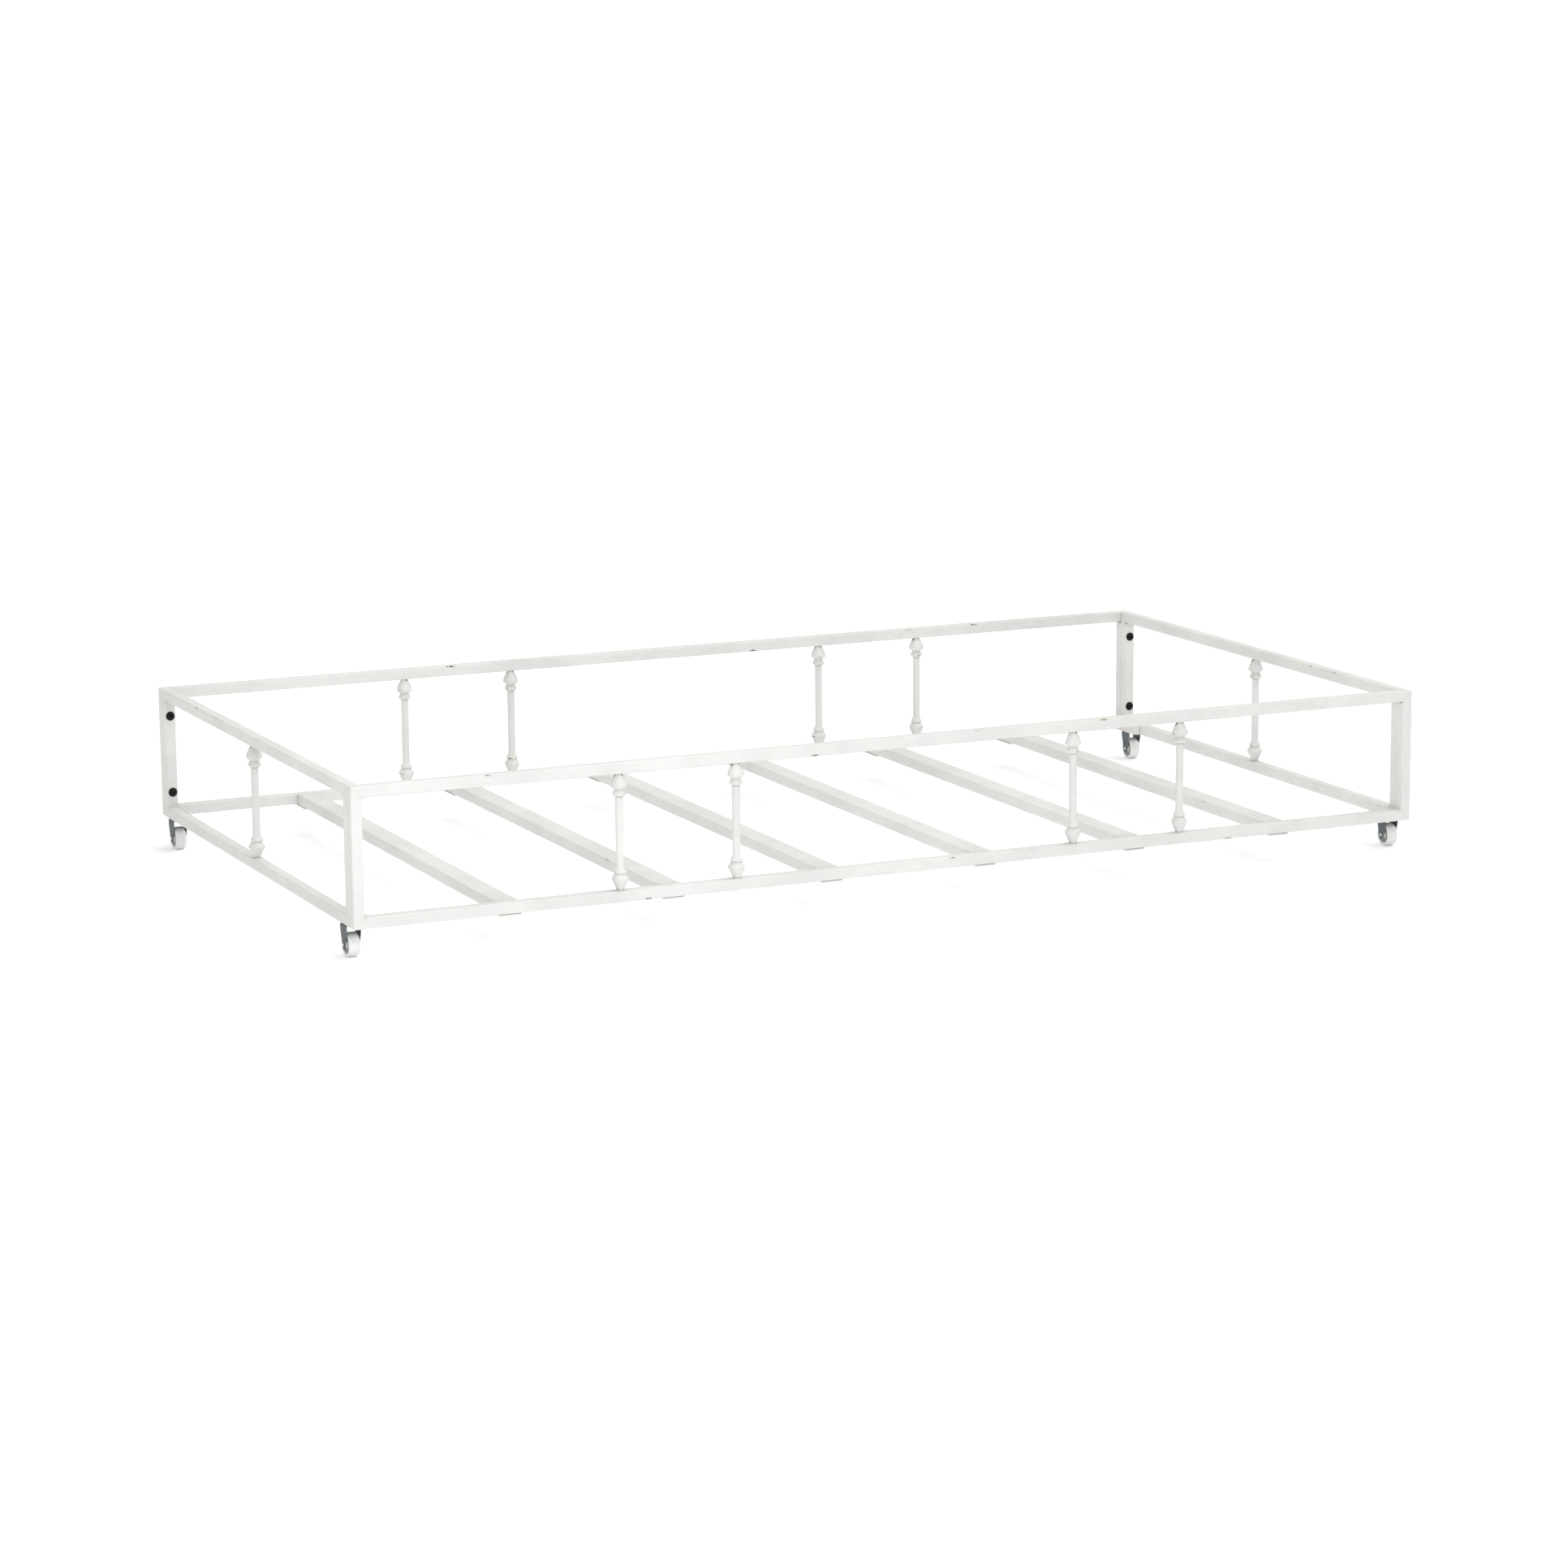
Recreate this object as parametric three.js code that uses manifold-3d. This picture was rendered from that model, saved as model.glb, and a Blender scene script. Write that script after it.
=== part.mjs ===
// Trundle bed: a low steel bed frame that rolls on four fixed casters.
//
// Two long side frames and two short end frames are welded from square tube, with turned spindles
// between their rails. The end frames stand between the side frames and are bolted to them at each
// corner. Six slats rest on tabs under the side frames. Each caster hangs under an end rail, and its
// wheel turns about an axle along X, so the bed rolls along Y.
//
// Millimetres. +Z is up and the floor is at z = 0. X runs along the bed, and the front is at -Y.
// The origin is on the floor, under the middle of the bed.
import * as THREE from 'three';
import { mergeVertices } from 'three/addons/utils/BufferGeometryUtils.js';
import Module from 'manifold-3d';

// Frames
const bedLength = 1950;
const bedWidth = 1034;
const frameHeight = 230;
const tube = 19;
const tubeWall = 1.5;
const tubeCorner = 2;
const mitreGap = 0.2;

// Spindles: positions are measured from the middle of their frame. Each end has a cone that meets
// the rail, a rim, a neck and a bead, and their distances are measured from the rail.
const sideSpindlePlaces = [-517, -311, 311, 517];
const endSpindlePlaces = [0];
const spindleShaft = 13;
const spindleRim = 28;
const rimLip = 2;
const beadLand = 3;
const spindleTop = {
  endWidth: 10, swell: 1.5, rimAt: 20.5, neckWidth: 16, neckAt: 27, beadWidth: 22, beadAt: 33, shaftAt: 38.5,
};
const spindleFoot = {
  endWidth: 12, swell: 0, rimAt: 18.5, neckWidth: 18, neckAt: 27.5, beadWidth: 21, beadAt: 31, shaftAt: 40,
};

// Slats and the tabs that carry them
const slatCount = 6;
const slatPitch = 284;
const slatWidth = 38;
const slatHeight = 19;
const tabWidth = 37;
const tabLength = 59;
const tabThickness = 3;
const tabWeld = 0.75;
const tabWeldInset = 1;

// Corner bolts
const boltInset = 46.5;
const boltShank = 8;
const boltHead = 16;
const boltHeadHeight = 4.5;
const boltHeadRim = 1.4;
const boltHeadTop = 9;
const domeSwell = 0.45;
const boltReach = 8;
const socketAcross = 5;
const socketDepth = 2.5;
const boltClearance = 0.2;

// Casters
const wheelDiameter = 40;
const wheelWidth = 20.5;
const wheelShoulder = 3;
const shoulderSwell = 0.6;
const rimThickness = 4.5;
const webThickness = 6;
const hubDiameter = 13;
const hubReach = 0.5;
const hubPlay = 0.5;
const axleDiameter = 6;
const axleHead = 8;
const axleHeadHeight = 1.5;
const axleHeadRim = 0.5;
const axleHeadTop = 4.8;
const axlePlay = 0.3;
const axleHoleClearance = 0.15;
const axleDrop = 33.5;
const forkPlate = 1.5;
const forkBend = 3;
const forkBaseLength = 30;
const forkShoulder = 9;
const forkEnd = 12;
const forkEndDrop = 3;
const seatWidth = 10;
const seatLength = 80;
const casterInset = 52;
const casterBolt = 6;
const casterBoltHead = 11;
const casterBoltHeadHeight = 3.5;
const casterBoltReach = 8;

// Smoothness of round pieces
const turnedSides = 12;
const wheelSides = 22;
const holeSides = 10;
const cornerSteps = 2;
const forkSteps = 4;

// Sizes that follow from the ones above
const axleHeight = wheelDiameter / 2;
const frameBase = axleHeight + axleDrop;
const endFrameLength = bedWidth - 2 * tube;
const hubWidth = wheelWidth + 2 * hubReach;
const forkInside = hubWidth + 2 * hubPlay;
const forkOutside = forkInside + 2 * forkPlate;
const casterX = bedLength / 2 - forkOutside / 2;
const casterY = endFrameLength / 2 + tube - casterInset;
const boltHeights = [frameHeight - boltInset, boltInset];

const wasm = await Module();
wasm.setup();

const paint = new THREE.MeshStandardMaterial({ color: 0xece8de, roughness: 0.5, metalness: 0 });
const blackSteel = new THREE.MeshStandardMaterial({ color: 0x161514, roughness: 0.45, metalness: 0.6 });
const zincSteel = new THREE.MeshStandardMaterial({ color: 0x6d7176, roughness: 0.4, metalness: 0.9 });
const nylon = new THREE.MeshStandardMaterial({ color: 0xdcd9cf, roughness: 0.5, metalness: 0 });

/** The closed solid of a geometry, with its shared vertices merged. */
function solidOf(geometry) {
  const bare = geometry.clone();
  bare.deleteAttribute('normal');
  bare.deleteAttribute('uv');
  const merged = mergeVertices(bare, 1e-4);
  const vertProperties = new Float32Array(merged.attributes.position.array);
  const triVerts = new Uint32Array(merged.index.array);
  return new wasm.Manifold(new wasm.Mesh({ numProp: 3, vertProperties, triVerts }));
}

/** The geometry of a solid. */
function geometryOf(solid) {
  const { vertProperties, triVerts } = solid.getMesh();
  const geometry = new THREE.BufferGeometry();
  geometry.setAttribute('position', new THREE.BufferAttribute(vertProperties, 3));
  geometry.setIndex(new THREE.BufferAttribute(triVerts, 1));
  return geometry;
}

/** A geometry with a list of other geometries cut out of it. */
function cut(geometry, cutters) {
  let solid = solidOf(geometry);
  for (const cutter of cutters) {
    solid = solid.subtract(solidOf(cutter));
  }
  return geometryOf(solid);
}

/** A geometry joined with a list of other geometries. */
function join(geometry, additions) {
  let solid = solidOf(geometry);
  for (const addition of additions) {
    solid = solid.add(solidOf(addition));
  }
  return geometryOf(solid);
}

/** A drill: a cylinder along an axis ('x', 'y' or 'z'), centred on a point. */
function drill(diameter, length, axis, x, y, z) {
  const geometry = new THREE.CylinderGeometry(diameter / 2, diameter / 2, length, holeSides);
  if (axis === 'x') {
    geometry.rotateZ(Math.PI / 2);
  }
  if (axis === 'z') {
    geometry.rotateX(Math.PI / 2);
  }
  return geometry.translate(x, y, z);
}

/** The section of a tube: a rectangle with round outside corners and a hollow inside. */
function tubeSection(width, height) {
  const x = width / 2 - tubeCorner;
  const y = height / 2 - tubeCorner;
  const section = new THREE.Shape();
  section.absarc(x, y, tubeCorner, 0, Math.PI / 2);
  section.absarc(-x, y, tubeCorner, Math.PI / 2, Math.PI);
  section.absarc(-x, -y, tubeCorner, Math.PI, 1.5 * Math.PI);
  section.absarc(x, -y, tubeCorner, 1.5 * Math.PI, 2 * Math.PI);
  section.closePath();
  const u = width / 2 - tubeWall;
  const v = height / 2 - tubeWall;
  const hollow = new THREE.Path();
  hollow.moveTo(-u, -v);
  hollow.lineTo(-u, v);
  hollow.lineTo(u, v);
  hollow.lineTo(u, -v);
  hollow.closePath();
  section.holes.push(hollow);
  return section;
}

/**
 * A tube along X. Its width is along Y and its height along Z. With a mitre, both ends are cut at
 * 45 degrees, so that the +Z side, which faces the inside of a frame, is the short one.
 */
function tubeGeometry(length, width, height, mitred) {
  const geometry = new THREE.ExtrudeGeometry(
    tubeSection(width, height), { depth: 1, bevelEnabled: false, curveSegments: cornerSteps });
  const points = geometry.attributes.position;
  for (let i = 0; i < points.count; i += 1) {
    const across = points.getX(i);
    const inward = points.getY(i);
    const side = points.getZ(i) > 0.5 ? 1 : -1;
    const cutBack = mitred ? inward + height / 2 + mitreGap / 2 : 0;
    points.setXYZ(i, side * (length / 2 - cutBack), across, inward);
  }
  geometry.deleteAttribute('normal');
  return geometry;
}

/** A solid turned about Z, from radius and height pairs that start and end on the axis. */
function turned(profile, sides) {
  const points = profile.map(([radius, height]) => new THREE.Vector2(radius, height));
  return new THREE.LatheGeometry(points, sides).rotateX(Math.PI / 2);
}

/** A named mesh. */
function piece(name, geometry, material) {
  const mesh = new THREE.Mesh(geometry, material);
  mesh.name = name;
  return mesh;
}

/** Radius and distance from the rail along one end of a spindle, from the rail to the shaft. */
function spindleEnd({ endWidth, swell, rimAt, neckWidth, neckAt, beadWidth, beadAt, shaftAt }) {
  const rim = spindleRim / 2;
  const end = endWidth / 2;
  return [
    [end, 0],
    [(rim + end) / 2 + swell, rimAt / 2],
    [rim, rimAt],
    [rim - rimLip, rimAt + rimLip],
    [neckWidth / 2, neckAt],
    [beadWidth / 2, beadAt - beadLand / 2],
    [beadWidth / 2, beadAt + beadLand / 2],
    [spindleShaft / 2, shaftAt],
  ];
}

/** A spindle that stands between two rails. Its foot is at z = 0. */
function spindleGeometry() {
  const length = frameHeight - 2 * tube;
  const foot = spindleEnd(spindleFoot);
  const top = spindleEnd(spindleTop).reverse();
  const raised = top.map(([radius, distance]) => [radius, length - distance]);
  return turned([[0, 0], ...foot, ...raised, [0, length]], turnedSides);
}

/** The tabs under a side frame's bottom rail. Each one reaches inward from the outer face. */
function tabGeometries() {
  const tabs = [];
  for (let i = 0; i < slatCount; i += 1) {
    const x = (i - (slatCount - 1) / 2) * slatPitch;
    const plate = new THREE.BoxGeometry(tabWidth, tabLength, tabThickness);
    plate.translate(x, tabLength / 2 - tube / 2, -tube / 2 - tabThickness / 2);
    const weld = new THREE.BoxGeometry(
      tabWidth - 2 * tabWeldInset, tube - 2 * tubeCorner, 2 * tabWeld);
    weld.translate(x, 0, -tube / 2);
    tabs.push(plate, weld);
  }
  return tabs;
}

/** Bolt holes through a side frame post: its inner wall only, where the bolt is held. */
function sidePostHoles() {
  const offset = frameHeight / 2 - boltInset;
  const diameter = boltShank + 2 * boltClearance;
  return [-offset, offset].map((x) => drill(diameter, 4 * tubeWall, 'y', x, tube / 2, 0));
}

/** Bolt holes through both walls of an end frame post. */
function endPostHoles() {
  const offset = frameHeight / 2 - boltInset;
  const diameter = boltShank + 2 * boltClearance;
  return [-offset, offset].map((x) => drill(diameter, 2 * tube, 'z', x, 0, 0));
}

/** Caster bolt holes in the bottom wall of an end frame's bottom rail. */
function endRailHoles() {
  const across = bedLength / 2 - tube / 2 - casterX;
  const diameter = casterBolt + 2 * boltClearance;
  return [-casterY, casterY].map((x) => drill(diameter, 4 * tubeWall, 'z', x, across, -tube / 2));
}

/**
 * A welded frame in its own XZ plane, with its underside at z = 0 and the bed's inside at +Y.
 * ends names its two posts, the one at -X first.
 */
function framePanel(name, length, ends, spindlePlaces, isSide) {
  const panel = new THREE.Group();
  const longTube = tubeGeometry(length, tube, tube, true);
  const post = tubeGeometry(frameHeight, tube, tube, true);

  const top = piece(`${name}_top_rail`, longTube, paint);
  top.position.z = frameHeight - tube / 2;
  top.rotation.x = Math.PI;
  const bottomTube = isSide ? join(longTube, tabGeometries()) : cut(longTube, endRailHoles());
  const bottom = piece(`${name}_bottom_rail`, bottomTube, paint);
  bottom.position.z = tube / 2;
  panel.add(top, bottom);

  const drilledPost = cut(post, isSide ? sidePostHoles() : endPostHoles());
  [-1, 1].forEach((side, i) => {
    const mesh = piece(`${name}_${ends[i]}_post`, drilledPost, paint);
    mesh.position.set(side * (length / 2 - tube / 2), 0, frameHeight / 2);
    mesh.rotation.y = (-side * Math.PI) / 2;
    panel.add(mesh);
  });

  const spindle = spindleGeometry();
  spindlePlaces.forEach((x, i) => {
    const mesh = piece(`${name}_spindle_${i + 1}`, spindle, paint);
    mesh.position.set(x, 0, tube);
    panel.add(mesh);
  });
  return panel;
}

/** The bar welded inside each end of an end rail, which widens the seat of the caster. */
function casterSeatGeometry() {
  const outline = new THREE.Shape();
  outline.moveTo(0, 0);
  outline.lineTo(seatLength, 0);
  outline.lineTo(seatLength, seatWidth);
  outline.lineTo(seatWidth, seatWidth);
  outline.closePath();
  return new THREE.ExtrudeGeometry(outline, { depth: tube, bevelEnabled: false });
}

/** A side frame, turned about Z so that its inside faces the middle of the bed. */
function sideFrame(name, turn, ends) {
  const panel = framePanel(name, bedLength, ends, sideSpindlePlaces, true);
  panel.rotation.z = turn;
  panel.position.y = -Math.cos(turn) * (bedWidth - tube) / 2;
  return panel;
}

/** An end frame with its two caster seats, turned about Z to face the middle of the bed. */
function endFrame(name, turn, ends) {
  const panel = framePanel(name, endFrameLength, ends, endSpindlePlaces, false);
  const seat = casterSeatGeometry();
  const mirrored = seat.clone().rotateY(Math.PI).translate(0, 0, tube);
  [seat, mirrored].forEach((geometry, i) => {
    const side = i === 0 ? 1 : -1;
    const mesh = piece(`${name}_${ends[1 - i]}_caster_seat`, geometry, paint);
    mesh.position.set(side * (endFrameLength / 2 - seatLength), tube / 2, 0);
    panel.add(mesh);
  });
  panel.rotation.z = turn;
  panel.position.x = Math.sin(turn) * (bedLength - tube) / 2;
  return panel;
}

/** The slats, which lie across the bed on the tabs. */
function slats() {
  const group = new THREE.Group();
  const geometry = tubeGeometry(endFrameLength, slatWidth, slatHeight, false);
  for (let i = 0; i < slatCount; i += 1) {
    const mesh = piece(`slat_${i + 1}`, geometry, paint);
    mesh.position.set((i - (slatCount - 1) / 2) * slatPitch, 0, slatHeight / 2);
    mesh.rotation.z = Math.PI / 2;
    group.add(mesh);
  }
  return group;
}

/** A button head bolt along Z with a hexagon socket. The underside of its head is at z = 0. */
function cornerBoltGeometry() {
  const shank = boltShank / 2;
  const head = boltHead / 2;
  const reach = tube + boltReach;
  const body = turned([
    [0, -reach], [shank, -reach], [shank, 0], [head, 0], [head, boltHeadRim],
    [(head + boltHeadTop / 2) / 2 + domeSwell, (boltHeadRim + boltHeadHeight) / 2 + domeSwell],
    [boltHeadTop / 2, boltHeadHeight], [0, boltHeadHeight],
  ], turnedSides);
  const radius = socketAcross / 2 / Math.cos(Math.PI / 6);
  const socket = new THREE.CylinderGeometry(radius, radius, 2 * socketDepth, 6);
  socket.rotateX(Math.PI / 2).translate(0, 0, boltHeadHeight);
  return cut(body, [socket]);
}

/** The bolts that hold the end frames to the side frames, two at each corner. */
function cornerBolts() {
  const group = new THREE.Group();
  const geometry = cornerBoltGeometry();
  for (const [corner, sideX, sideY] of corners) {
    boltHeights.forEach((height, i) => {
      const mesh = piece(`${corner}_${['upper', 'lower'][i]}_bolt`, geometry, blackSteel);
      mesh.position.set(sideX * (bedLength - tube) / 2, sideY * (endFrameLength / 2 - tube), height);
      mesh.rotation.x = (sideY * Math.PI) / 2;
      group.add(mesh);
    });
  }
  return group;
}

/** A fork seen from its side: straight shoulders, then edges that taper onto a round end. */
function forkOutline() {
  const half = forkBaseLength / 2;
  const end = forkEnd / 2;
  const centre = axleDrop + forkEndDrop;
  const taper = centre - forkShoulder;
  const start = Math.atan2(taper, -half) + Math.acos(end / Math.hypot(half, taper));
  const outline = new THREE.Shape();
  outline.moveTo(-half, 0);
  outline.lineTo(-half, -forkShoulder);
  outline.absarc(0, -centre, end, start, 3 * Math.PI - start);
  outline.lineTo(half, -forkShoulder);
  outline.lineTo(half, 0);
  outline.closePath();
  return outline;
}

/** A caster fork: a plate bent down on both sides of the wheel, with its base at z = 0. */
function forkGeometry() {
  const half = forkOutside / 2;
  const inner = forkInside / 2;
  const drop = axleDrop + forkEndDrop + forkEnd;
  const bend = forkBend - forkPlate;
  const section = new THREE.Shape();
  section.moveTo(-half, -drop);
  section.lineTo(-inner, -drop);
  section.absarc(-inner + bend, -forkPlate - bend, bend, Math.PI, Math.PI / 2, true);
  section.absarc(inner - bend, -forkPlate - bend, bend, Math.PI / 2, 0, true);
  section.lineTo(inner, -drop);
  section.lineTo(half, -drop);
  section.absarc(half - forkBend, -forkBend, forkBend, 0, Math.PI / 2);
  section.absarc(-half + forkBend, -forkBend, forkBend, Math.PI / 2, Math.PI);
  section.closePath();
  const channel = new THREE.ExtrudeGeometry(
    section, { depth: 2 * forkBaseLength, bevelEnabled: false, curveSegments: cornerSteps });
  channel.rotateX(Math.PI / 2).translate(0, forkBaseLength, 0);
  const side = new THREE.ExtrudeGeometry(
    forkOutline(), { depth: 2 * forkOutside, bevelEnabled: false, curveSegments: forkSteps });
  side.rotateX(Math.PI / 2).rotateZ(Math.PI / 2).translate(-forkOutside, 0, 0);
  const fork = solidOf(channel).intersect(solidOf(side));
  const axleHole = drill(
    axleDiameter + 2 * axleHoleClearance, 2 * forkOutside, 'x', 0, 0, -axleDrop);
  const boltHole = drill(casterBolt + 2 * boltClearance, 4 * forkPlate, 'z', 0, 0, 0);
  return cut(geometryOf(fork), [axleHole, boltHole]);
}

/** A wheel turned about X, with a hub, a web and a round-shouldered rim. It stands on a flat. */
function wheelGeometry() {
  const tread = wheelDiameter / 2 / Math.cos(Math.PI / wheelSides);
  const bore = axleDiameter / 2 + axlePlay;
  const hub = hubDiameter / 2;
  const rimInside = wheelDiameter / 2 - rimThickness;
  const flat = wheelWidth / 2 - wheelShoulder;
  const half = [
    [tread, flat],
    [tread - wheelShoulder / 2, (flat + wheelWidth / 2) / 2 + shoulderSwell],
    [tread - wheelShoulder, wheelWidth / 2],
    [rimInside, wheelWidth / 2],
    [rimInside, webThickness / 2],
    [hub, webThickness / 2],
    [hub, hubWidth / 2],
    [bore, hubWidth / 2],
  ];
  const other = half.map(([radius, across]) => [radius, -across]).reverse();
  const loop = [...other, ...half, other[0]];
  const points = loop.map(([radius, across]) => new THREE.Vector2(radius, across));
  const geometry = new THREE.LatheGeometry(points, wheelSides, Math.PI / wheelSides);
  return geometry.rotateZ(Math.PI / 2);
}

/** A riveted axle along X, with a head outside each side of the fork. */
function axleGeometry() {
  const radius = axleDiameter / 2;
  const head = axleHead / 2;
  const top = axleHeadTop / 2;
  const inner = forkOutside / 2;
  const outer = inner + axleHeadHeight;
  return turned([
    [0, -outer], [top, -outer], [head, -inner - axleHeadRim], [head, -inner],
    [radius, -inner], [radius, inner],
    [head, inner], [head, inner + axleHeadRim], [top, outer], [0, outer],
  ], turnedSides).rotateY(Math.PI / 2);
}

/** The bolt that holds a fork: its head is inside the fork and its shank stands up in the rail. */
function casterBoltGeometry() {
  const shank = casterBolt / 2;
  const head = casterBoltHead / 2;
  const base = -forkPlate;
  const tip = tubeWall + casterBoltReach;
  return turned([
    [0, base - casterBoltHeadHeight], [head, base - casterBoltHeadHeight], [head, base],
    [shank, base], [shank, tip], [0, tip],
  ], 6);
}

/** The four casters. They differ only in their names and places. */
function casters() {
  const group = new THREE.Group();
  const fork = forkGeometry();
  const wheel = wheelGeometry();
  const axle = axleGeometry();
  const bolt = casterBoltGeometry();
  for (const [corner, sideX, sideY] of corners) {
    const caster = new THREE.Group();
    const wheelMesh = piece(`${corner}_caster_wheel`, wheel, nylon);
    const axleMesh = piece(`${corner}_caster_axle`, axle, zincSteel);
    wheelMesh.position.z = -axleDrop;
    axleMesh.position.z = -axleDrop;
    caster.add(piece(`${corner}_caster_fork`, fork, zincSteel));
    caster.add(piece(`${corner}_caster_bolt`, bolt, zincSteel));
    caster.add(wheelMesh, axleMesh);
    caster.position.set(sideX * casterX, sideY * casterY, 0);
    group.add(caster);
  }
  return group;
}

const corners = [
  ['front_left', -1, -1],
  ['front_right', 1, -1],
  ['rear_left', -1, 1],
  ['rear_right', 1, 1],
];

const frame = new THREE.Group();
frame.position.z = frameBase;
frame.add(sideFrame('front', 0, ['left', 'right']));
frame.add(sideFrame('rear', Math.PI, ['right', 'left']));
frame.add(endFrame('left_end', -Math.PI / 2, ['rear', 'front']));
frame.add(endFrame('right_end', Math.PI / 2, ['front', 'rear']));
frame.add(slats(), cornerBolts(), casters());

const trundleBed = new THREE.Group();
trundleBed.add(frame);
export default trundleBed;
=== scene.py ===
"""A trundle bed with welded, painted frames, turned spindles and small casters.

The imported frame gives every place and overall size. This script makes the finished surfaces of the
pieces around it: four welded frames, their weld beads, spindles, slats and tabs, the corner bolts,
and the casters. Metres, +Z up, with the floor at z = 0 and the front of the bed at -Y.
"""
import math

import bmesh
import bpy
import numpy as np
from mathutils import Matrix, Vector


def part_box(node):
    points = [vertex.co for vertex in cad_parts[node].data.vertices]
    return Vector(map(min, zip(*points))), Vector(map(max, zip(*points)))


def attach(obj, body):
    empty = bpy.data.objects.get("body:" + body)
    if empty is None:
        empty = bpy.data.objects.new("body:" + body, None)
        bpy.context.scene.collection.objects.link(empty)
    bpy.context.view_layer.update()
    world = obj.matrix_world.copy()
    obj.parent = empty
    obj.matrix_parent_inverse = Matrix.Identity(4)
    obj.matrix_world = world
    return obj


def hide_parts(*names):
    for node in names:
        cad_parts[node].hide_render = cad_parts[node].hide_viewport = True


bl_info = {
    "name": "Trundle bed",
    "version": (1, 0, 0),
    "blender": (4, 5, 0),
    "location": "View3D > Sidebar > Trundle bed",
    "description": "Makes the welded frames, spindles, slats, bolts and casters of a trundle bed",
    "category": "Object",
}

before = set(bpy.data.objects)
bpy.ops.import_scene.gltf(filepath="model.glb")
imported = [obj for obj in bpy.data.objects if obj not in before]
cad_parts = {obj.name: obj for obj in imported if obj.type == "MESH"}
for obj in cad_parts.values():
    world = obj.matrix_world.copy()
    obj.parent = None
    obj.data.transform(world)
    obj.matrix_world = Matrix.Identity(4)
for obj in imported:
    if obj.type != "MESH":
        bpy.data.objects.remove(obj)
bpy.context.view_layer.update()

CORNERS = ("front_left", "front_right", "rear_left", "rear_right")
END_CORNERS = {
    "left_end": {"front": "front_left", "rear": "rear_left"},
    "right_end": {"front": "front_right", "rear": "rear_right"},
}
POSTS = {
    "front": ("left", "right"),
    "rear": ("left", "right"),
    "left_end": ("front", "rear"),
    "right_end": ("front", "rear"),
}
SLATS = ("slat_1", "slat_2", "slat_3", "slat_4", "slat_5", "slat_6")
SPINDLES = {"front": 4, "rear": 4, "left_end": 1, "right_end": 1}

# Places along a rail, in metres from its middle, where a knock has chipped the paint off an edge:
# (rail, upper or lower edge, outside or inside face, place, how bad)
KNOCKS = (
    ("front_top_rail", "upper", "outside", -0.744, 0.72),
    ("front_top_rail", "lower", "outside", -0.172, 1.0),
    ("front_top_rail", "upper", "outside", 0.126, 0.62),
    ("front_top_rail", "upper", "outside", 0.364, 1.0),
    ("front_bottom_rail", "lower", "outside", -0.473, 0.95),
    ("front_bottom_rail", "upper", "outside", 0.079, 0.8),
    ("front_bottom_rail", "lower", "outside", 0.608, 0.95),
    ("rear_top_rail", "upper", "inside", -0.592, 0.55),
    ("rear_top_rail", "upper", "inside", -0.429, 1.0),
    ("rear_top_rail", "lower", "inside", 0.171, 0.95),
    ("rear_top_rail", "upper", "inside", 0.496, 0.72),
    ("rear_top_rail", "upper", "inside", 0.634, 0.95),
    ("left_end_top_rail", "upper", "outside", 0.288, 0.9),
    ("right_end_top_rail", "upper", "inside", -0.209, 0.7),
    ("right_end_top_rail", "upper", "inside", -0.29, 0.72),
    ("slat_2", "upper", "inside", -0.277, 0.95),
    ("slat_6", "upper", "inside", -0.291, 0.75),
)
# Longer rubs along an edge: (rail, edge, face, place, half length, how bad)
RUBS = (
    ("left_end_top_rail", "upper", "outside", 0.41, 0.035, 0.5),
    ("left_end_top_rail", "upper", "outside", 0.19, 0.04, 0.62),
    ("front_bottom_rail", "upper", "outside", -0.78, 0.045, 0.45),
    ("rear_top_rail", "upper", "inside", -0.3, 0.06, 0.42),
)
# A knock: half its length, half its width, and how far down or up the face its middle lies
KNOCK_LENGTH = 0.0105
KNOCK_WIDTH = 0.0021
ON_FACE = 0.0016
# How far from an edge its wear reaches
EDGE_REACH = 0.0016
# The weld round a spindle's foot and top: radius of the ring, and of its bead
FOOT_RING = (0.0064, 0.0008)
TOP_RING = (0.0052, 0.0007)
# A slat tab: its width, and the height of the gap over it, which a dark strip fills as painted shade
TAB_WIDTH = 0.037
TAB_GAP = 0.0006
# A fork: how far down its legs start to narrow, radius of their ends, and of the bend at their top
FORK_SHOULDER = 0.009
FORK_END_RADIUS = 0.006
FORK_BEND = 0.0022
# Radius of the axles, and of the bolts that hold the forks
SHANK = 0.003
# Mesh steps round each corner of a frame
CORNER_STEPS = 6


# ---------------------------------------------------------------------------- settings


class TRUNDLEBED_PG_tube(bpy.types.PropertyGroup):
    """Sizes of the welded tube frames and slats."""

    edge_round: bpy.props.FloatProperty(
        name="Tube edge", description="Radius of the long edges of every tube",
        default=0.0019, min=0.0005, unit="LENGTH", precision=4,
    )
    corner_round: bpy.props.FloatProperty(
        name="Outer corner", description="Radius ground onto the outer corners of a frame",
        default=0.0026, min=0.0005, unit="LENGTH", precision=4,
    )
    inner_round: bpy.props.FloatProperty(
        name="Inner corner", description="Radius left by the paint in the inner corners of a frame",
        default=0.0014, min=0.0003, unit="LENGTH", precision=4,
    )
    ring_spacing: bpy.props.FloatProperty(
        name="Ring spacing", description="Distance between the mesh rings along a tube",
        default=0.006, min=0.002, unit="LENGTH", precision=4,
    )
    weld_radius: bpy.props.FloatProperty(
        name="Weld bead", description="Radius of a weld bead in a corner",
        default=0.0021, min=0.0003, unit="LENGTH", precision=4,
    )


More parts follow.
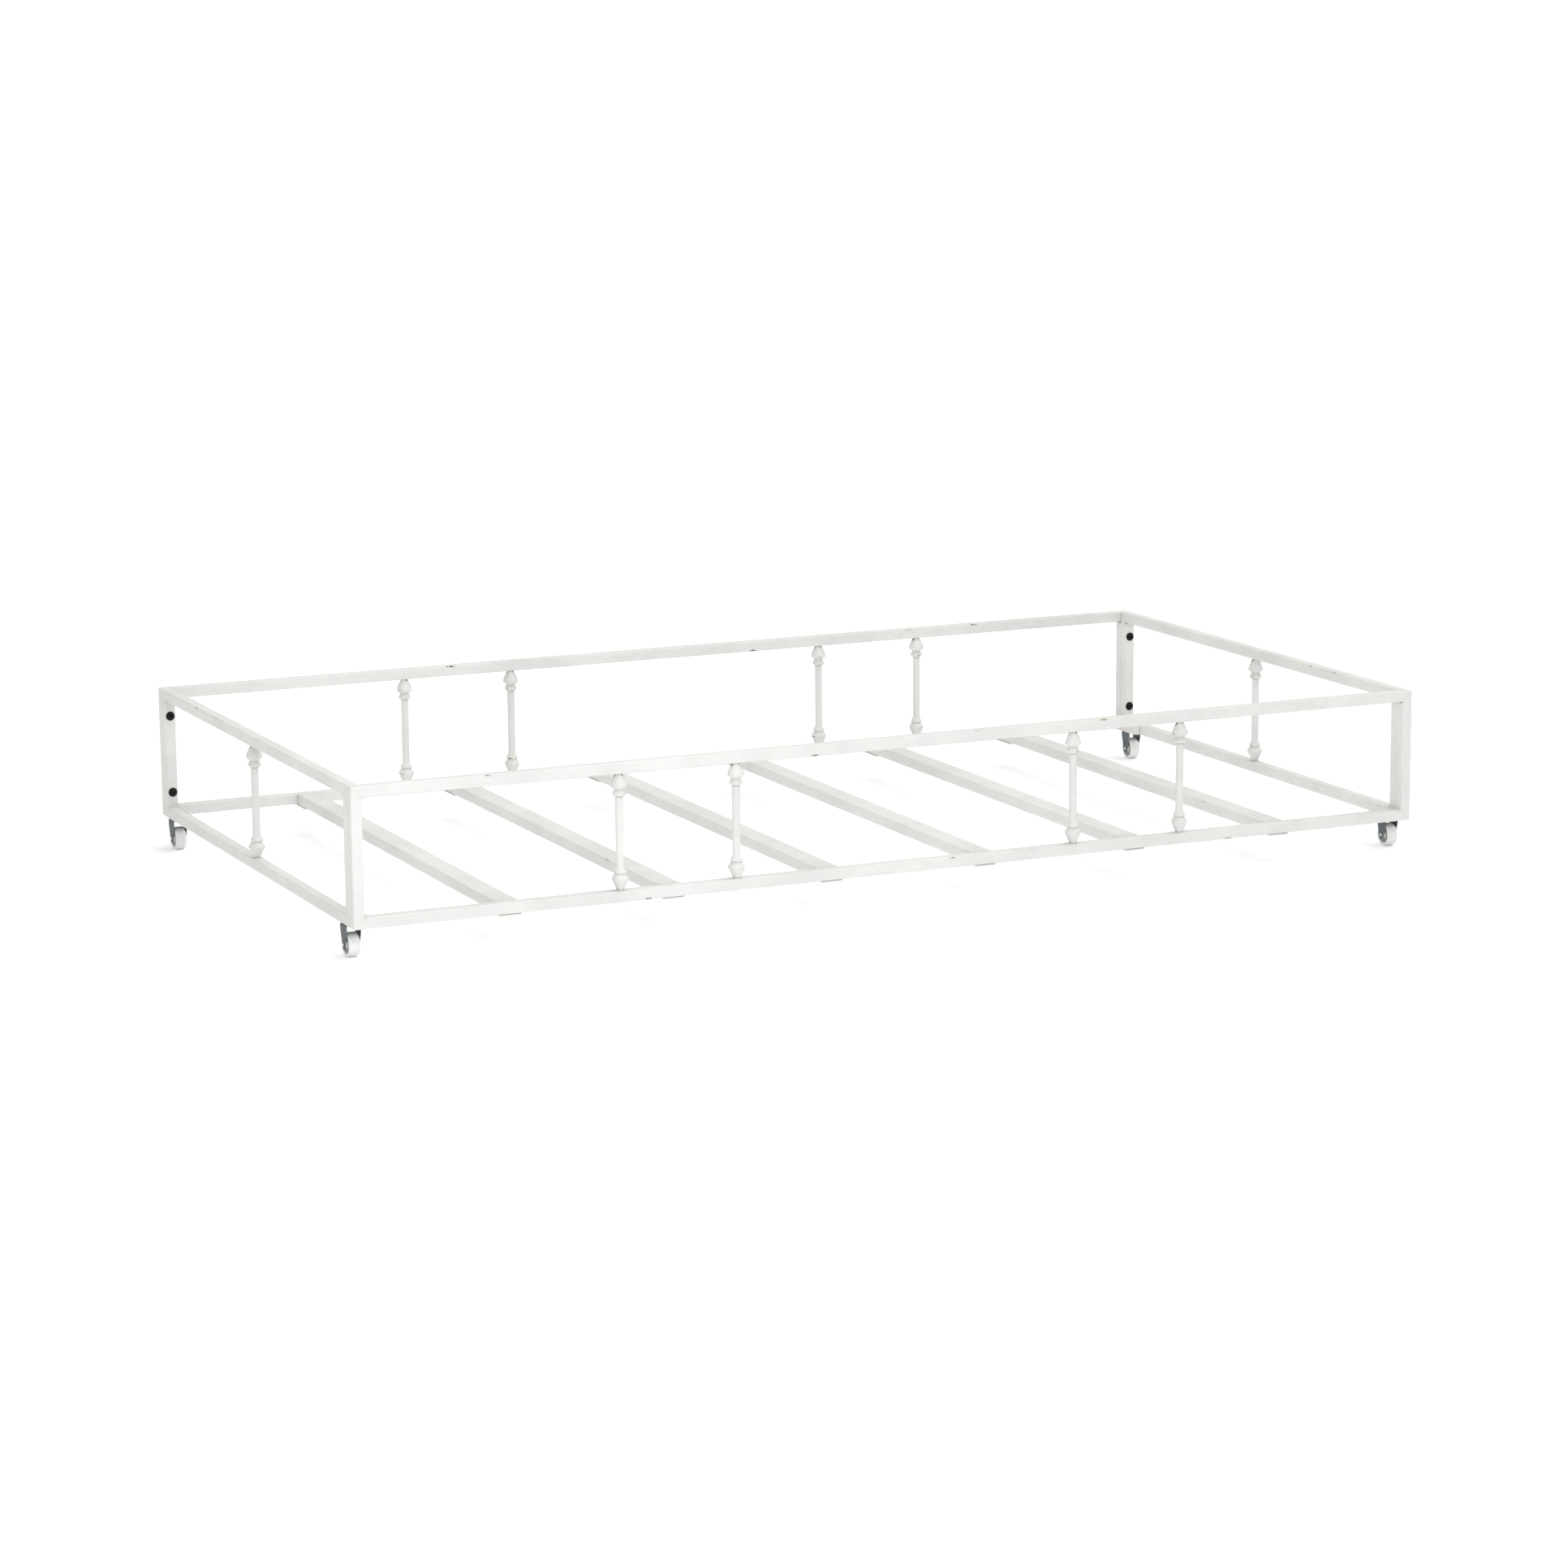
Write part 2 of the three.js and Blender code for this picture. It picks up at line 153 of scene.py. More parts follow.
class TRUNDLEBED_PG_spindle(bpy.types.PropertyGroup):
    """Sizes of the turned spindles. Distances are measured from the rail at each end."""

    shaft: bpy.props.FloatProperty(
        name="Shaft", description="Diameter of the shaft", default=0.013, unit="LENGTH", precision=4,
    )
    rim: bpy.props.FloatProperty(
        name="Rim", description="Diameter of the sharp rims", default=0.028, unit="LENGTH", precision=4,
    )
    top_rim_at: bpy.props.FloatProperty(
        name="Top rim", description="Distance of the upper rim from its rail",
        default=0.0205, unit="LENGTH", precision=4,
    )
    foot_rim_at: bpy.props.FloatProperty(
        name="Foot rim", description="Distance of the lower rim from its rail",
        default=0.0185, unit="LENGTH", precision=4,
    )


class TRUNDLEBED_PG_fittings(bpy.types.PropertyGroup):
    """Sizes of the bolts, screws and casters that the frame does not give."""

    socket: bpy.props.FloatProperty(
        name="Bolt socket", description="Distance across the flats of a bolt's hexagon socket",
        default=0.005, unit="LENGTH", precision=4,
    )
    socket_depth: bpy.props.FloatProperty(
        name="Socket depth", description="Depth of a bolt's hexagon socket",
        default=0.0025, unit="LENGTH", precision=4,
    )
    screw_head: bpy.props.FloatProperty(
        name="Screw head", description="Diameter of the screws that hold the slats",
        default=0.0085, unit="LENGTH", precision=4,
    )
    plate: bpy.props.FloatProperty(
        name="Fork plate", description="Thickness of the plate that a caster fork is bent from",
        default=0.0015, unit="LENGTH", precision=4,
    )
    wheel_ribs: bpy.props.IntProperty(
        name="Wheel ribs", description="Number of ribs on each side of a wheel", default=6, min=3,
    )


class TRUNDLEBED_PG_finish(bpy.types.PropertyGroup):
    """Colours of the finishes and how worn they are."""

    paint: bpy.props.FloatVectorProperty(
        name="Paint", description="Antique white paint", subtype="COLOR", size=3,
        default=(0.652, 0.648, 0.625), min=0, max=1,
    )
    # A darkened copy of the glaze is also the painted shade in hollows, grooves and gaps.
    glaze: bpy.props.FloatVectorProperty(
        name="Glaze", description="Brown glaze rubbed into the paint", subtype="COLOR", size=3,
        default=(0.42, 0.35, 0.26), min=0, max=1,
    )
    primer: bpy.props.FloatVectorProperty(
        name="Primer", description="Reddish primer that shows where the paint is thin",
        subtype="COLOR", size=3, default=(0.36, 0.2, 0.13), min=0, max=1,
    )
    # This colour also paints the dark marks that stand for shadow.
    bare: bpy.props.FloatVectorProperty(
        name="Bare steel", description="Dark steel that shows in a chip", subtype="COLOR", size=3,
        default=(0.02, 0.011, 0.008), min=0, max=1,
    )
    zinc: bpy.props.FloatVectorProperty(
        name="Zinc", description="Darkened zinc plate of the forks", subtype="COLOR", size=3,
        default=(0.13, 0.15, 0.165), min=0, max=1,
    )
    nylon: bpy.props.FloatVectorProperty(
        name="Nylon", description="White nylon of the wheels", subtype="COLOR", size=3,
        default=(0.7, 0.705, 0.69), min=0, max=1,
    )
    wear: bpy.props.FloatProperty(
        name="Wear", description="How much of the paint is chipped and rubbed", default=1.0,
        min=0, max=1.5, subtype="FACTOR",
    )


class TRUNDLEBED_PG_stage(bpy.types.PropertyGroup):
    """Floor, light and camera."""

    floor: bpy.props.FloatVectorProperty(
        name="Floor", description="Colour of the studio floor", subtype="COLOR", size=3,
        default=(0.95, 0.95, 0.95), min=0, max=1,
    )
    floor_size: bpy.props.FloatProperty(
        name="Floor size", description="Width of the studio floor", default=400, unit="LENGTH",
    )
    surround: bpy.props.FloatProperty(
        name="Surround", description="Strength of the even light from all round", default=0.77, min=0,
    )
    key: bpy.props.FloatProperty(
        name="Key", description="Power of the softbox in front", default=23, min=0, unit="POWER",
    )
    top: bpy.props.FloatProperty(
        name="Top", description="Power of the softbox above", default=19, min=0, unit="POWER",
    )
    ceiling: bpy.props.FloatProperty(
        name="Ceiling", description="Strength of the wide light from far above", default=1.0, min=0,
    )
    glow: bpy.props.FloatProperty(
        name="Glow", description="How much the floor glows, as a light table does", default=0.12, min=0,
    )
    lens: bpy.props.FloatProperty(
        name="Lens", description="Focal length in millimetres", default=102.16, min=10,
    )
    camera_place: bpy.props.FloatVectorProperty(
        name="Camera", description="Place of the camera", subtype="TRANSLATION", unit="LENGTH",
        size=3, default=(-3.1897, -7.0122, 1.6119),
    )
    camera_turn: bpy.props.FloatProperty(
        name="Turn", description="Turn of the camera about Z, from looking along +Y",
        default=math.radians(-24.5035), subtype="ANGLE",
    )
    camera_drop: bpy.props.FloatProperty(
        name="Drop", description="Angle of the camera below the horizon",
        default=math.radians(11.009), subtype="ANGLE",
    )
    camera_roll: bpy.props.FloatProperty(
        name="Roll", description="Roll of the camera", default=math.radians(-0.439), subtype="ANGLE",
    )


# ---------------------------------------------------------------------------- shader expressions


class Value:
    """A socket that varies over a surface. Python's operators on it add Math nodes."""

    def __init__(self, finish, socket):
        self.finish = finish
        self.socket = socket

    def math(self, operation, *terms):
        sockets = dict(enumerate(terms))
        return self.finish.node("ShaderNodeMath", {"operation": operation}, sockets)

    def __add__(self, other):
        return self.math("ADD", self, other)

    def __radd__(self, other):
        return self.math("ADD", other, self)

    def __sub__(self, other):
        return self.math("SUBTRACT", self, other)

    def __rsub__(self, other):
        return self.math("SUBTRACT", other, self)

    def __mul__(self, other):
        return self.math("MULTIPLY", self, other)

    def __rmul__(self, other):
        return self.math("MULTIPLY", other, self)

    def at_most(self, other):
        return self.math("MINIMUM", self, other)

    def at_least(self, other):
        return self.math("MAXIMUM", self, other)

    def above(self, start, end):
        """0 below start and 1 above end, with a smooth step between them."""
        settings = {"interpolation_type": "SMOOTHSTEP"}
        sockets = {"Value": self, "From Min": start, "From Max": end, "To Min": 0.0, "To Max": 1.0}
        return self.finish.node("ShaderNodeMapRange", settings, sockets)


class Finish:
    """The node tree of one finish, with a Principled shader that ends it."""

    MIX_FACTOR = 0
    MIX_A = 6
    MIX_B = 7
    MIX_RESULT = 2

    def __init__(self, name, **constants):
        self.material = bpy.data.materials.new(name)
        self.material.use_nodes = True
        self.tree = self.material.node_tree
        self.tree.nodes.clear()
        self.shader = self.tree.nodes.new("ShaderNodeBsdfPrincipled")
        output = self.tree.nodes.new("ShaderNodeOutputMaterial")
        self.tree.links.new(self.shader.outputs[0], output.inputs["Surface"])
        for name, value in constants.items():
            self.set(name.replace("_", " "), value)

    def set(self, name, value):
        """Give one socket of the shader a value or a link."""
        self.fill(self.shader.inputs[name], value)

    def fill(self, socket, value):
        if isinstance(value, Value):
            self.tree.links.new(value.socket, socket)
        elif socket.type == "RGBA" and len(value) == 3:
            socket.default_value = (*value, 1.0)
        else:
            socket.default_value = value

    def node(self, kind, settings=None, sockets=None, output=0):
        """Add a node: its settings first, then the values or links of its sockets."""
        node = self.tree.nodes.new(kind)
        for name, value in (settings or {}).items():
            setattr(node, name, value)
        for key, value in (sockets or {}).items():
            self.fill(node.inputs[key], value)
        return Value(self, node.outputs[output])

    def attribute(self, name, output="Fac"):
        """A value that the mesh carries."""
        return self.node("ShaderNodeAttribute", {"attribute_name": name}, output=output)

    def place(self):
        """The place on the piece, in metres."""
        return self.node("ShaderNodeTexCoord", output="Object")

    def stretch(self, vector, scale):
        """A vector with each part multiplied."""
        sockets = {0: vector, 1: scale}
        return self.node("ShaderNodeVectorMath", {"operation": "MULTIPLY"}, sockets)

    def noise(self, vector, scale, detail=2.0, roughness=0.5):
        sockets = {"Vector": vector, "Scale": scale, "Detail": detail, "Roughness": roughness}
        return self.node("ShaderNodeTexNoise", None, sockets, output="Fac")

    def cells(self, vector, scale, output="Distance"):
        """Voronoi cells: the distance to the nearest cell's point, or a colour for each cell."""
        return self.node("ShaderNodeTexVoronoi", None, {"Vector": vector, "Scale": scale}, output)

    def split(self, colour, channel="Red"):
        """One channel of a colour."""
        return self.node("ShaderNodeSeparateColor", None, {"Color": colour}, channel)

    def mix(self, a, b, factor):
        """Colour a where the factor is 0, and b where it is 1."""
        sockets = {self.MIX_FACTOR: factor, self.MIX_A: a, self.MIX_B: b}
        settings = {"data_type": "RGBA"}
        return self.node("ShaderNodeMix", settings, sockets, output=self.MIX_RESULT)

    def bump(self, height, strength, distance):
        sockets = {"Height": height, "Strength": strength, "Distance": distance}
        self.set("Normal", self.node("ShaderNodeBump", None, sockets, output="Normal"))


def shade(colour, factor):
    """A colour made darker or lighter."""
    return tuple(min(1.0, part * factor) for part in colour)


def antique_paint():
    """Brushed off-white paint with brown glaze and painted shade in its hollows, chips along its edges, and
    dark marks painted as shadow.
    """
    look = bpy.context.scene.trundle_finish
    finish = Finish("antique_white_paint", Specular_IOR_Level=0.4)
    place = finish.place()
    run = finish.attribute("run", "Vector")
    edge = finish.attribute("edge")
    hollow = finish.attribute("hollow")
    knock_and_shadow = finish.attribute("knock_and_shadow") * look.wear

    brush = finish.noise(finish.stretch(run, (14.0, 900.0, 1.0)), 1.0, 3.0, 0.6)
    thick_brush = finish.noise(finish.stretch(run, (6.0, 260.0, 1.0)), 1.0, 2.0)
    cloud = finish.noise(place, 7.0, 3.0, 0.6)
    mottle = finish.noise(place, 55.0, 3.0, 0.55)
    grit = finish.noise(place, 420.0, 2.0, 0.6)

    tone = finish.mix(shade(look.paint, 0.94), shade(look.paint, 1.06), cloud.above(0.3, 0.7))
    cool = (look.paint[0] * 0.985, look.paint[1] * 1.0, look.paint[2] * 1.05)
    tone = finish.mix(tone, cool, mottle.above(0.45, 0.75) * 0.6)
    dry_brush = brush.above(0.56, 0.8) * 0.22 + thick_brush.above(0.55, 0.85) * 0.16
    tone = finish.mix(tone, shade(look.glaze, 1.15), dry_brush)
    # Brown glaze, and painted shade in corners, grooves, joints and gaps.
    stain_and_shade_amount = hollow * (0.45 + 0.5 * mottle)
    tone = finish.mix(tone, look.glaze, stain_and_shade_amount.at_most(0.85))
    # Painted shade: the deepest hollows and gaps turn nearly black.
    tone = finish.mix(tone, shade(look.glaze, 0.35), hollow.above(0.7, 1.1) * 0.75)

    thin = edge * finish.noise(finish.stretch(run, (22.0, 60.0, 1.0)), 1.0, 3.0, 0.65).above(0.5, 0.72)
    tone = finish.mix(tone, shade(look.primer, 1.6), thin * (0.2 * look.wear))

    wander = finish.noise(place, 300.0, 1.0) - 0.5
    halo = (knock_and_shadow * (0.55 + 0.9 * mottle) + wander * 0.5 - 0.3).above(0.0, 0.5)
    tone = finish.mix(tone, look.primer, halo * 0.45)

    fleck_size = finish.cells(place, 380.0)
    fleck_luck = finish.split(finish.cells(place, 380.0, "Color"))
    fleck_round = 1.0 - (fleck_size + wander * 0.35).above(0.4, 0.58)
    fleck = (knock_and_shadow * 1.7 - fleck_luck).above(0.68, 0.74) * fleck_round
    # Chips, and the dark marks painted as shadow, show the bare steel colour.
    chip_and_shadow = fleck.at_least((knock_and_shadow - 0.2 + wander * 1.5).above(1.05, 1.2))
    tone = finish.mix(tone, look.bare, chip_and_shadow)

    finish.set("Base Color", tone)
    finish.set("Roughness", 0.44 + 0.14 * brush + 0.12 * halo + 0.2 * chip_and_shadow)
    relief = brush * 0.35 + thick_brush * 0.45 + grit * 0.12 + mottle * 0.5 - chip_and_shadow * 1.4 - halo * 0.3
    finish.bump(relief, 0.35, 0.00035)
    return finish.material


def black_steel():
    """Black oxide steel, polished a little where a key or a hand rubs it."""
    finish = Finish("black_oxide_steel", Specular_IOR_Level=0.18)
    place = finish.place()
    edge = finish.attribute("edge")
    cloud = finish.noise(place, 180.0, 3.0, 0.6)
    grit = finish.noise(place, 1500.0, 2.0)
    rubbed = (edge * 0.8 + cloud * 0.5).above(0.75, 1.15)
    tone = finish.mix((0.004, 0.004, 0.004), (0.011, 0.01, 0.01), cloud.above(0.35, 0.7))
    tone = finish.mix(tone, (0.07, 0.068, 0.065), rubbed * 0.5)
    finish.set("Base Color", tone)
    finish.set("Metallic", 0.15 + 0.4 * rubbed)
    finish.set("Roughness", 0.5 - 0.16 * rubbed + 0.12 * grit)
    finish.bump(grit * 0.5 + cloud * 0.5, 0.25, 0.0001)
    return finish.material


def zinc_plate():
    """Darkened zinc plate with soft spangles, scratches, bright worn edges and a painted highlight along
    its bends.
    """
    look = bpy.context.scene.trundle_finish
    finish = Finish("darkened_zinc_plate", Specular_IOR_Level=0.5)
    place = finish.place()
    edge = finish.attribute("edge")
    spangle = finish.split(finish.cells(place, 260.0, "Color"))
    cloud = finish.noise(place, 70.0, 3.0, 0.6)
    scratch = finish.noise(finish.stretch(place, (2600.0, 2600.0, 130.0)), 1.0, 2.0)
    # Worn edges, and the painted highlight along the bends, lighten the plate.
    wear_and_highlight = (edge * 0.9 + cloud * 0.5).above(0.8, 1.25)
    tone = finish.mix(shade(look.zinc, 0.55), look.zinc, cloud.above(0.3, 0.7))
    tone = finish.mix(tone, shade(look.zinc, 1.35), spangle * 0.35)
    tone = finish.mix(tone, (0.52, 0.54, 0.55), wear_and_highlight * 0.75 + scratch.above(0.66, 0.8) * 0.12)
    finish.set("Base Color", tone)
    finish.set("Metallic", 0.85 + 0.1 * wear_and_highlight)
    finish.set("Roughness", 0.46 - 0.14 * wear_and_highlight + 0.14 * cloud + 0.06 * spangle)
    finish.bump(scratch * 0.4 + spangle * 0.3 + cloud * 0.3, 0.22, 0.00012)
    return finish.material


def rivet_steel():
    """Bright steel of the rivets, with painted shade that darkens the flange pressed against the fork."""
    finish = Finish("bright_rivet_steel", Specular_IOR_Level=0.5)
    place = finish.place()
    cloud = finish.noise(place, 320.0, 3.0, 0.6)
    ring = finish.noise(place, 1400.0, 2.0)
    flange = finish.attribute("hollow")
    tone = finish.mix((0.6, 0.62, 0.63), (0.8, 0.82, 0.82), cloud.above(0.35, 0.7))
    # Painted shade on the flange round the dome.
    tone = finish.mix(tone, (0.05, 0.06, 0.065), flange)
    finish.set("Base Color", tone)
    finish.set("Metallic", 0.9 + 0.08 * cloud)
    finish.set("Roughness", 0.28 + 0.18 * ring)
    finish.bump(ring * 0.6 + cloud * 0.4, 0.2, 0.0001)
    return finish.material


def white_nylon():
    """Glossy moulded nylon with a dulled tread and brown painted shade in its pockets."""
    look = bpy.context.scene.trundle_finish
    finish = Finish("white_nylon", Specular_IOR_Level=0.5)
    place = finish.place()
    hollow = finish.attribute("hollow")
    tread = finish.attribute("edge")
    cloud = finish.noise(place, 90.0, 3.0, 0.6)
    grain = finish.noise(place, 900.0, 2.0)
    scuff = finish.noise(place, 330.0, 3.0, 0.6)
    tone = finish.mix(shade(look.nylon, 0.95), shade(look.nylon, 1.05), cloud.above(0.3, 0.7))
    tone = finish.mix(tone, (0.5, 0.47, 0.4), tread * scuff.above(0.55, 0.8) * 0.2)
    # Painted shade: brown in the pockets of the webs.
    tone = finish.mix(tone, (0.27, 0.22, 0.15), (hollow * (0.5 + 0.5 * cloud)).at_most(0.8))
    finish.set("Base Color", tone)
    finish.set("Roughness", 0.14 + 0.06 * tread + 0.06 * scuff + 0.12 * hollow)
    finish.bump(scuff * 0.4 + grain * 0.3 + cloud * 0.3, 0.06, 0.00008)
    return finish.material


def studio_floor():
    """Pale seamless paper."""
    stage = bpy.context.scene.trundle_stage
    finish = Finish("pale_floor", Roughness=0.9, Specular_IOR_Level=0.1)
    cloud = finish.noise(finish.place(), 1.3, 2.0)
    tone = finish.mix(shade(stage.floor, 0.995), shade(stage.floor, 1.005), cloud)
    finish.set("Base Color", tone)
    finish.set("Emission Color", (0.85, 0.88, 1.0))
    finish.set("Emission Strength", stage.glow)
    return finish.material


def material(make):
    """The material that a function makes, made once."""
    if make.__name__ not in material.made:
        material.made[make.__name__] = make()
    return material.made[make.__name__]


material.made = {}


# ---------------------------------------------------------------------------- surfaces


class Sheet:
    """A closed surface on a grid of points, with values that the materials read.

    points has one row for each step along the surface and one column for each step round it. run is
    the distance along, the distance round and a number of the piece's own. edge is 1 on a corner,
    hollow is 1 where glaze gathers and where shade is painted into hollows and gaps, and
    knock_and_shadow is 1 where something has hit the paint, and higher on dark marks painted as shadow.
    """

    def __init__(self, points, run=None, edge=0.0, hollow=0.0, knock_and_shadow=0.0, loop=False):
        self.points = points
        shape = points.shape[:2]
        self.run = points if run is None else run
        self.values = {
            "edge": np.broadcast_to(edge, shape),
            "hollow": np.broadcast_to(hollow, shape),
            "knock_and_shadow": np.broadcast_to(knock_and_shadow, shape),
        }
        self.loop = loop

    def faces(self):
        """Four-sided faces between neighbouring rows and columns; rows too join up if it is a loop.

        They are turned round if the volume that they enclose comes out negative.
        """
        rows, columns = self.points.shape[:2]
        row = np.arange(rows if self.loop else rows - 1)[:, None]
        column = np.arange(columns)[None, :]
        next_row = (row + 1) % rows
        next_column = (column + 1) % columns
        corners = (
            row * columns + column, row * columns + next_column,
            next_row * columns + next_column, next_row * columns + column,
        )
        quads = np.stack(np.broadcast_arrays(*corners), axis=-1).reshape(-1, 4)
        a, b, c, d = np.moveaxis(self.points.reshape(-1, 3)[quads], 1, 0)
        middle = (a + b + c + d) / 4
        if np.sum(middle * np.cross(c - a, d - b)) < 0:
            quads = quads[:, ::-1]
        return quads


def make_piece(name, sheets, look, body="frame", stands_for=()):
    """Join sheets into one mesh, close its seams and poles, and ride it on a body."""
    points = np.concatenate([s.points.reshape(-1, 3) for s in sheets])
    counts = [s.points.shape[0] * s.points.shape[1] for s in sheets]
    starts = np.cumsum([0] + counts[:-1])
    faces = np.concatenate([s.faces() + start for s, start in zip(sheets, starts)])
    runs = np.concatenate([s.run.reshape(-1, 3) for s in sheets])

    mesh = bpy.data.meshes.new(name)
    mesh.from_pydata(points.tolist(), [], faces.tolist())
    mesh.attributes.new("run", "FLOAT_VECTOR", "POINT").data.foreach_set("vector", runs.ravel())
    for key in ("edge", "hollow", "knock_and_shadow"):
        value = np.concatenate([s.values[key].ravel() for s in sheets]).astype(np.float32)
        mesh.attributes.new(key, "FLOAT", "POINT").data.foreach_set("value", value)
    close_seams(mesh)
    mesh.shade_smooth()

    piece = bpy.data.objects.new(name, mesh)
    bpy.context.scene.collection.objects.link(piece)
    mesh.materials.append(material(look))
    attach(piece, body)
    if stands_for:
        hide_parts(*stands_for)
    return piece


def paint_piece(name, sheets, stands_for=()):
    """A painted piece that rides on the frame."""
    return make_piece(name, sheets, antique_paint, stands_for=stands_for)


def close_seams(mesh, distance=1e-6):
    """Merge the points that lie on each other, which closes poles and seams."""
    work = bmesh.new()
    work.from_mesh(mesh)
    bmesh.ops.remove_doubles(work, verts=work.verts, dist=distance)
    work.to_mesh(mesh)
    work.free()


def span(node):
    """Lowest and highest corner of a CAD node, in metres."""
    low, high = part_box(node)
    return np.array(low), np.array(high)


def softened(chain, reach, steps=4):
    """Round each inner point of a chain of points.

    Each is replaced by the curve (1-t)^2 a + 2t(1-t) p + t^2 b, where a and b lie on its two sides,
    reach away from it or 40% of the shorter side if that is less.
    """
    chain = np.asarray(chain, float)
    corner = chain[1:-1]
    back = chain[:-2] - corner
    ahead = chain[2:] - corner
    back_length = np.linalg.norm(back, axis=1, keepdims=True)
    ahead_length = np.linalg.norm(ahead, axis=1, keepdims=True)
    cut = np.minimum(reach, 0.4 * np.minimum(back_length, ahead_length))
    start = corner + back / back_length * cut
    end = corner + ahead / ahead_length * cut
    t = np.linspace(0, 1, steps + 1)[None, :, None]
    curve = (1 - t) ** 2 * start[:, None] + 2 * t * (1 - t) * corner[:, None] + t**2 * end[:, None]
    return np.concatenate([chain[:1], curve.reshape(-1, 2), chain[-1:]])


def evened(chain, spacing):
    """A chain of points with more points added, so that none are further apart than the spacing."""
    lengths = np.linalg.norm(np.diff(chain, axis=0), axis=1)
    along = np.concatenate([[0], np.cumsum(lengths)])
    places = np.union1d(np.round(along, 7), np.round(np.arange(0, along[-1], spacing), 7))
    keep = np.concatenate([[True], np.diff(places) > 5e-6])
    places = places[keep]
    return np.stack([np.interp(places, along, chain[:, k]) for k in range(2)], axis=1)


def turned(profile, sides, centre, axis, number=0.0, radius_at=None):
    """Turn a profile of radius and height about an axis through the centre.

    point = centre + radius * (cos angle, sin angle) across the axis + height along it.
    radius_at may change the radius and the height at each angle. Returns the points, and the distances
    along and round the surface as run.
    """
    angle = np.linspace(0, 2 * math.pi, sides, endpoint=False)[None, :]
    radius = np.broadcast_to(profile[:, :1], (len(profile), sides))
    height = np.broadcast_to(profile[:, 1:], (len(profile), sides))
    if radius_at is not None:
        radius, height = radius_at(radius, height, angle)
    local = np.stack([radius * np.cos(angle), radius * np.sin(angle), height], axis=-1)
    points = np.roll(local, axis + 1, axis=-1) + np.asarray(centre)
    lengths = np.linalg.norm(np.diff(profile, axis=0), axis=1)
    along = np.concatenate([[0], np.cumsum(lengths)])[:, None]
    size = profile[:, 0].max()
    around = (size * np.sin(angle) + number, size * np.cos(angle))
    run = np.stack(np.broadcast_arrays(along, *around), axis=-1)
    return points, run


def polygon_radius(angle, sides, inner_radius):
    """Radius of a regular polygon at each angle: inner radius / cos(angle from the nearest flat)."""
    sector = 2 * math.pi / sides
    return inner_radius / np.cos((angle + sector / 2) % sector - sector / 2)


class Outline:
    """A convex outline with round corners, given by its sharp corners anticlockwise.

    A corner's arc has its centre set in by the radius from both sides: corner - radius * (n0 + n1) /
    (1 + n0.n1), where n0 and n1 are the outward normals of the sides before and after it. A point is
    centre + (radius - inset) * normal. Round an arc the normal turns from n0 to n1, and between two
    arcs the centre moves straight while the normal stays.
    """

    ARC = np.linspace(0, 1, 5)
    FLAT = np.array([0.06, 0.2, 0.4, 0.6, 0.8, 0.94])

    def __init__(self, corners, radius):
        corners = np.asarray(corners, float)
        sides = np.roll(corners, -1, axis=0) - corners
        lengths = np.linalg.norm(sides, axis=1)
        after = np.stack([sides[:, 1], -sides[:, 0]], axis=1) / lengths[:, None]
        before = np.roll(after, 1, axis=0)
        cosine = np.sum(before * after, axis=1)
        centres = corners - radius * (before + after) / (1 + cosine)[:, None]
        turn = np.arccos(np.clip(cosine, -1, 1))[:, None]
        angle = np.arctan2(before[:, 1], before[:, 0])[:, None] + turn * self.ARC
        arc_normals = np.stack([np.cos(angle), np.sin(angle)], axis=-1)
        arc_centres = np.broadcast_to(centres[:, None], arc_normals.shape)
        step = (np.roll(centres, -1, axis=0) - centres)[:, None]
        flat_centres = centres[:, None] + step * self.FLAT[None, :, None]
        flat_normals = np.broadcast_to(after[:, None], flat_centres.shape)
        flat_length = np.linalg.norm(step, axis=-1)
        from_arc = radius * np.abs(self.ARC - 0.5) * turn
        from_flat = radius * turn / 2 + flat_length * np.minimum(self.FLAT, 1 - self.FLAT)
        self.radius = radius
        self.centres = np.concatenate([arc_centres, flat_centres], axis=1).reshape(-1, 2)
        self.normals = np.concatenate([arc_normals, flat_normals], axis=1).reshape(-1, 2)
        self.to_corner = np.concatenate([from_arc, from_flat], axis=1).ravel()
        points = self.points(0.0)
        steps = np.linalg.norm(np.diff(points, axis=0, append=points[:1]), axis=1)
        self.around = np.concatenate([[0], np.cumsum(steps)[:-1]])

    def points(self, inset):
        """The outline moved inward."""
        return self.centres + (self.radius - inset) * self.normals

    def sharpness(self, reach=EDGE_REACH):
        """1 in the middle of a rounded corner, falling to 0 on the flats as exp(-(distance/reach)^2)."""
        return np.exp(-((self.to_corner / reach) ** 2))


def rectangle(width, height):
    """The corners of a rectangle round the origin, anticlockwise."""
    x = width / 2
    y = height / 2
    return [(x, y), (-x, y), (-x, -y), (x, -y)]


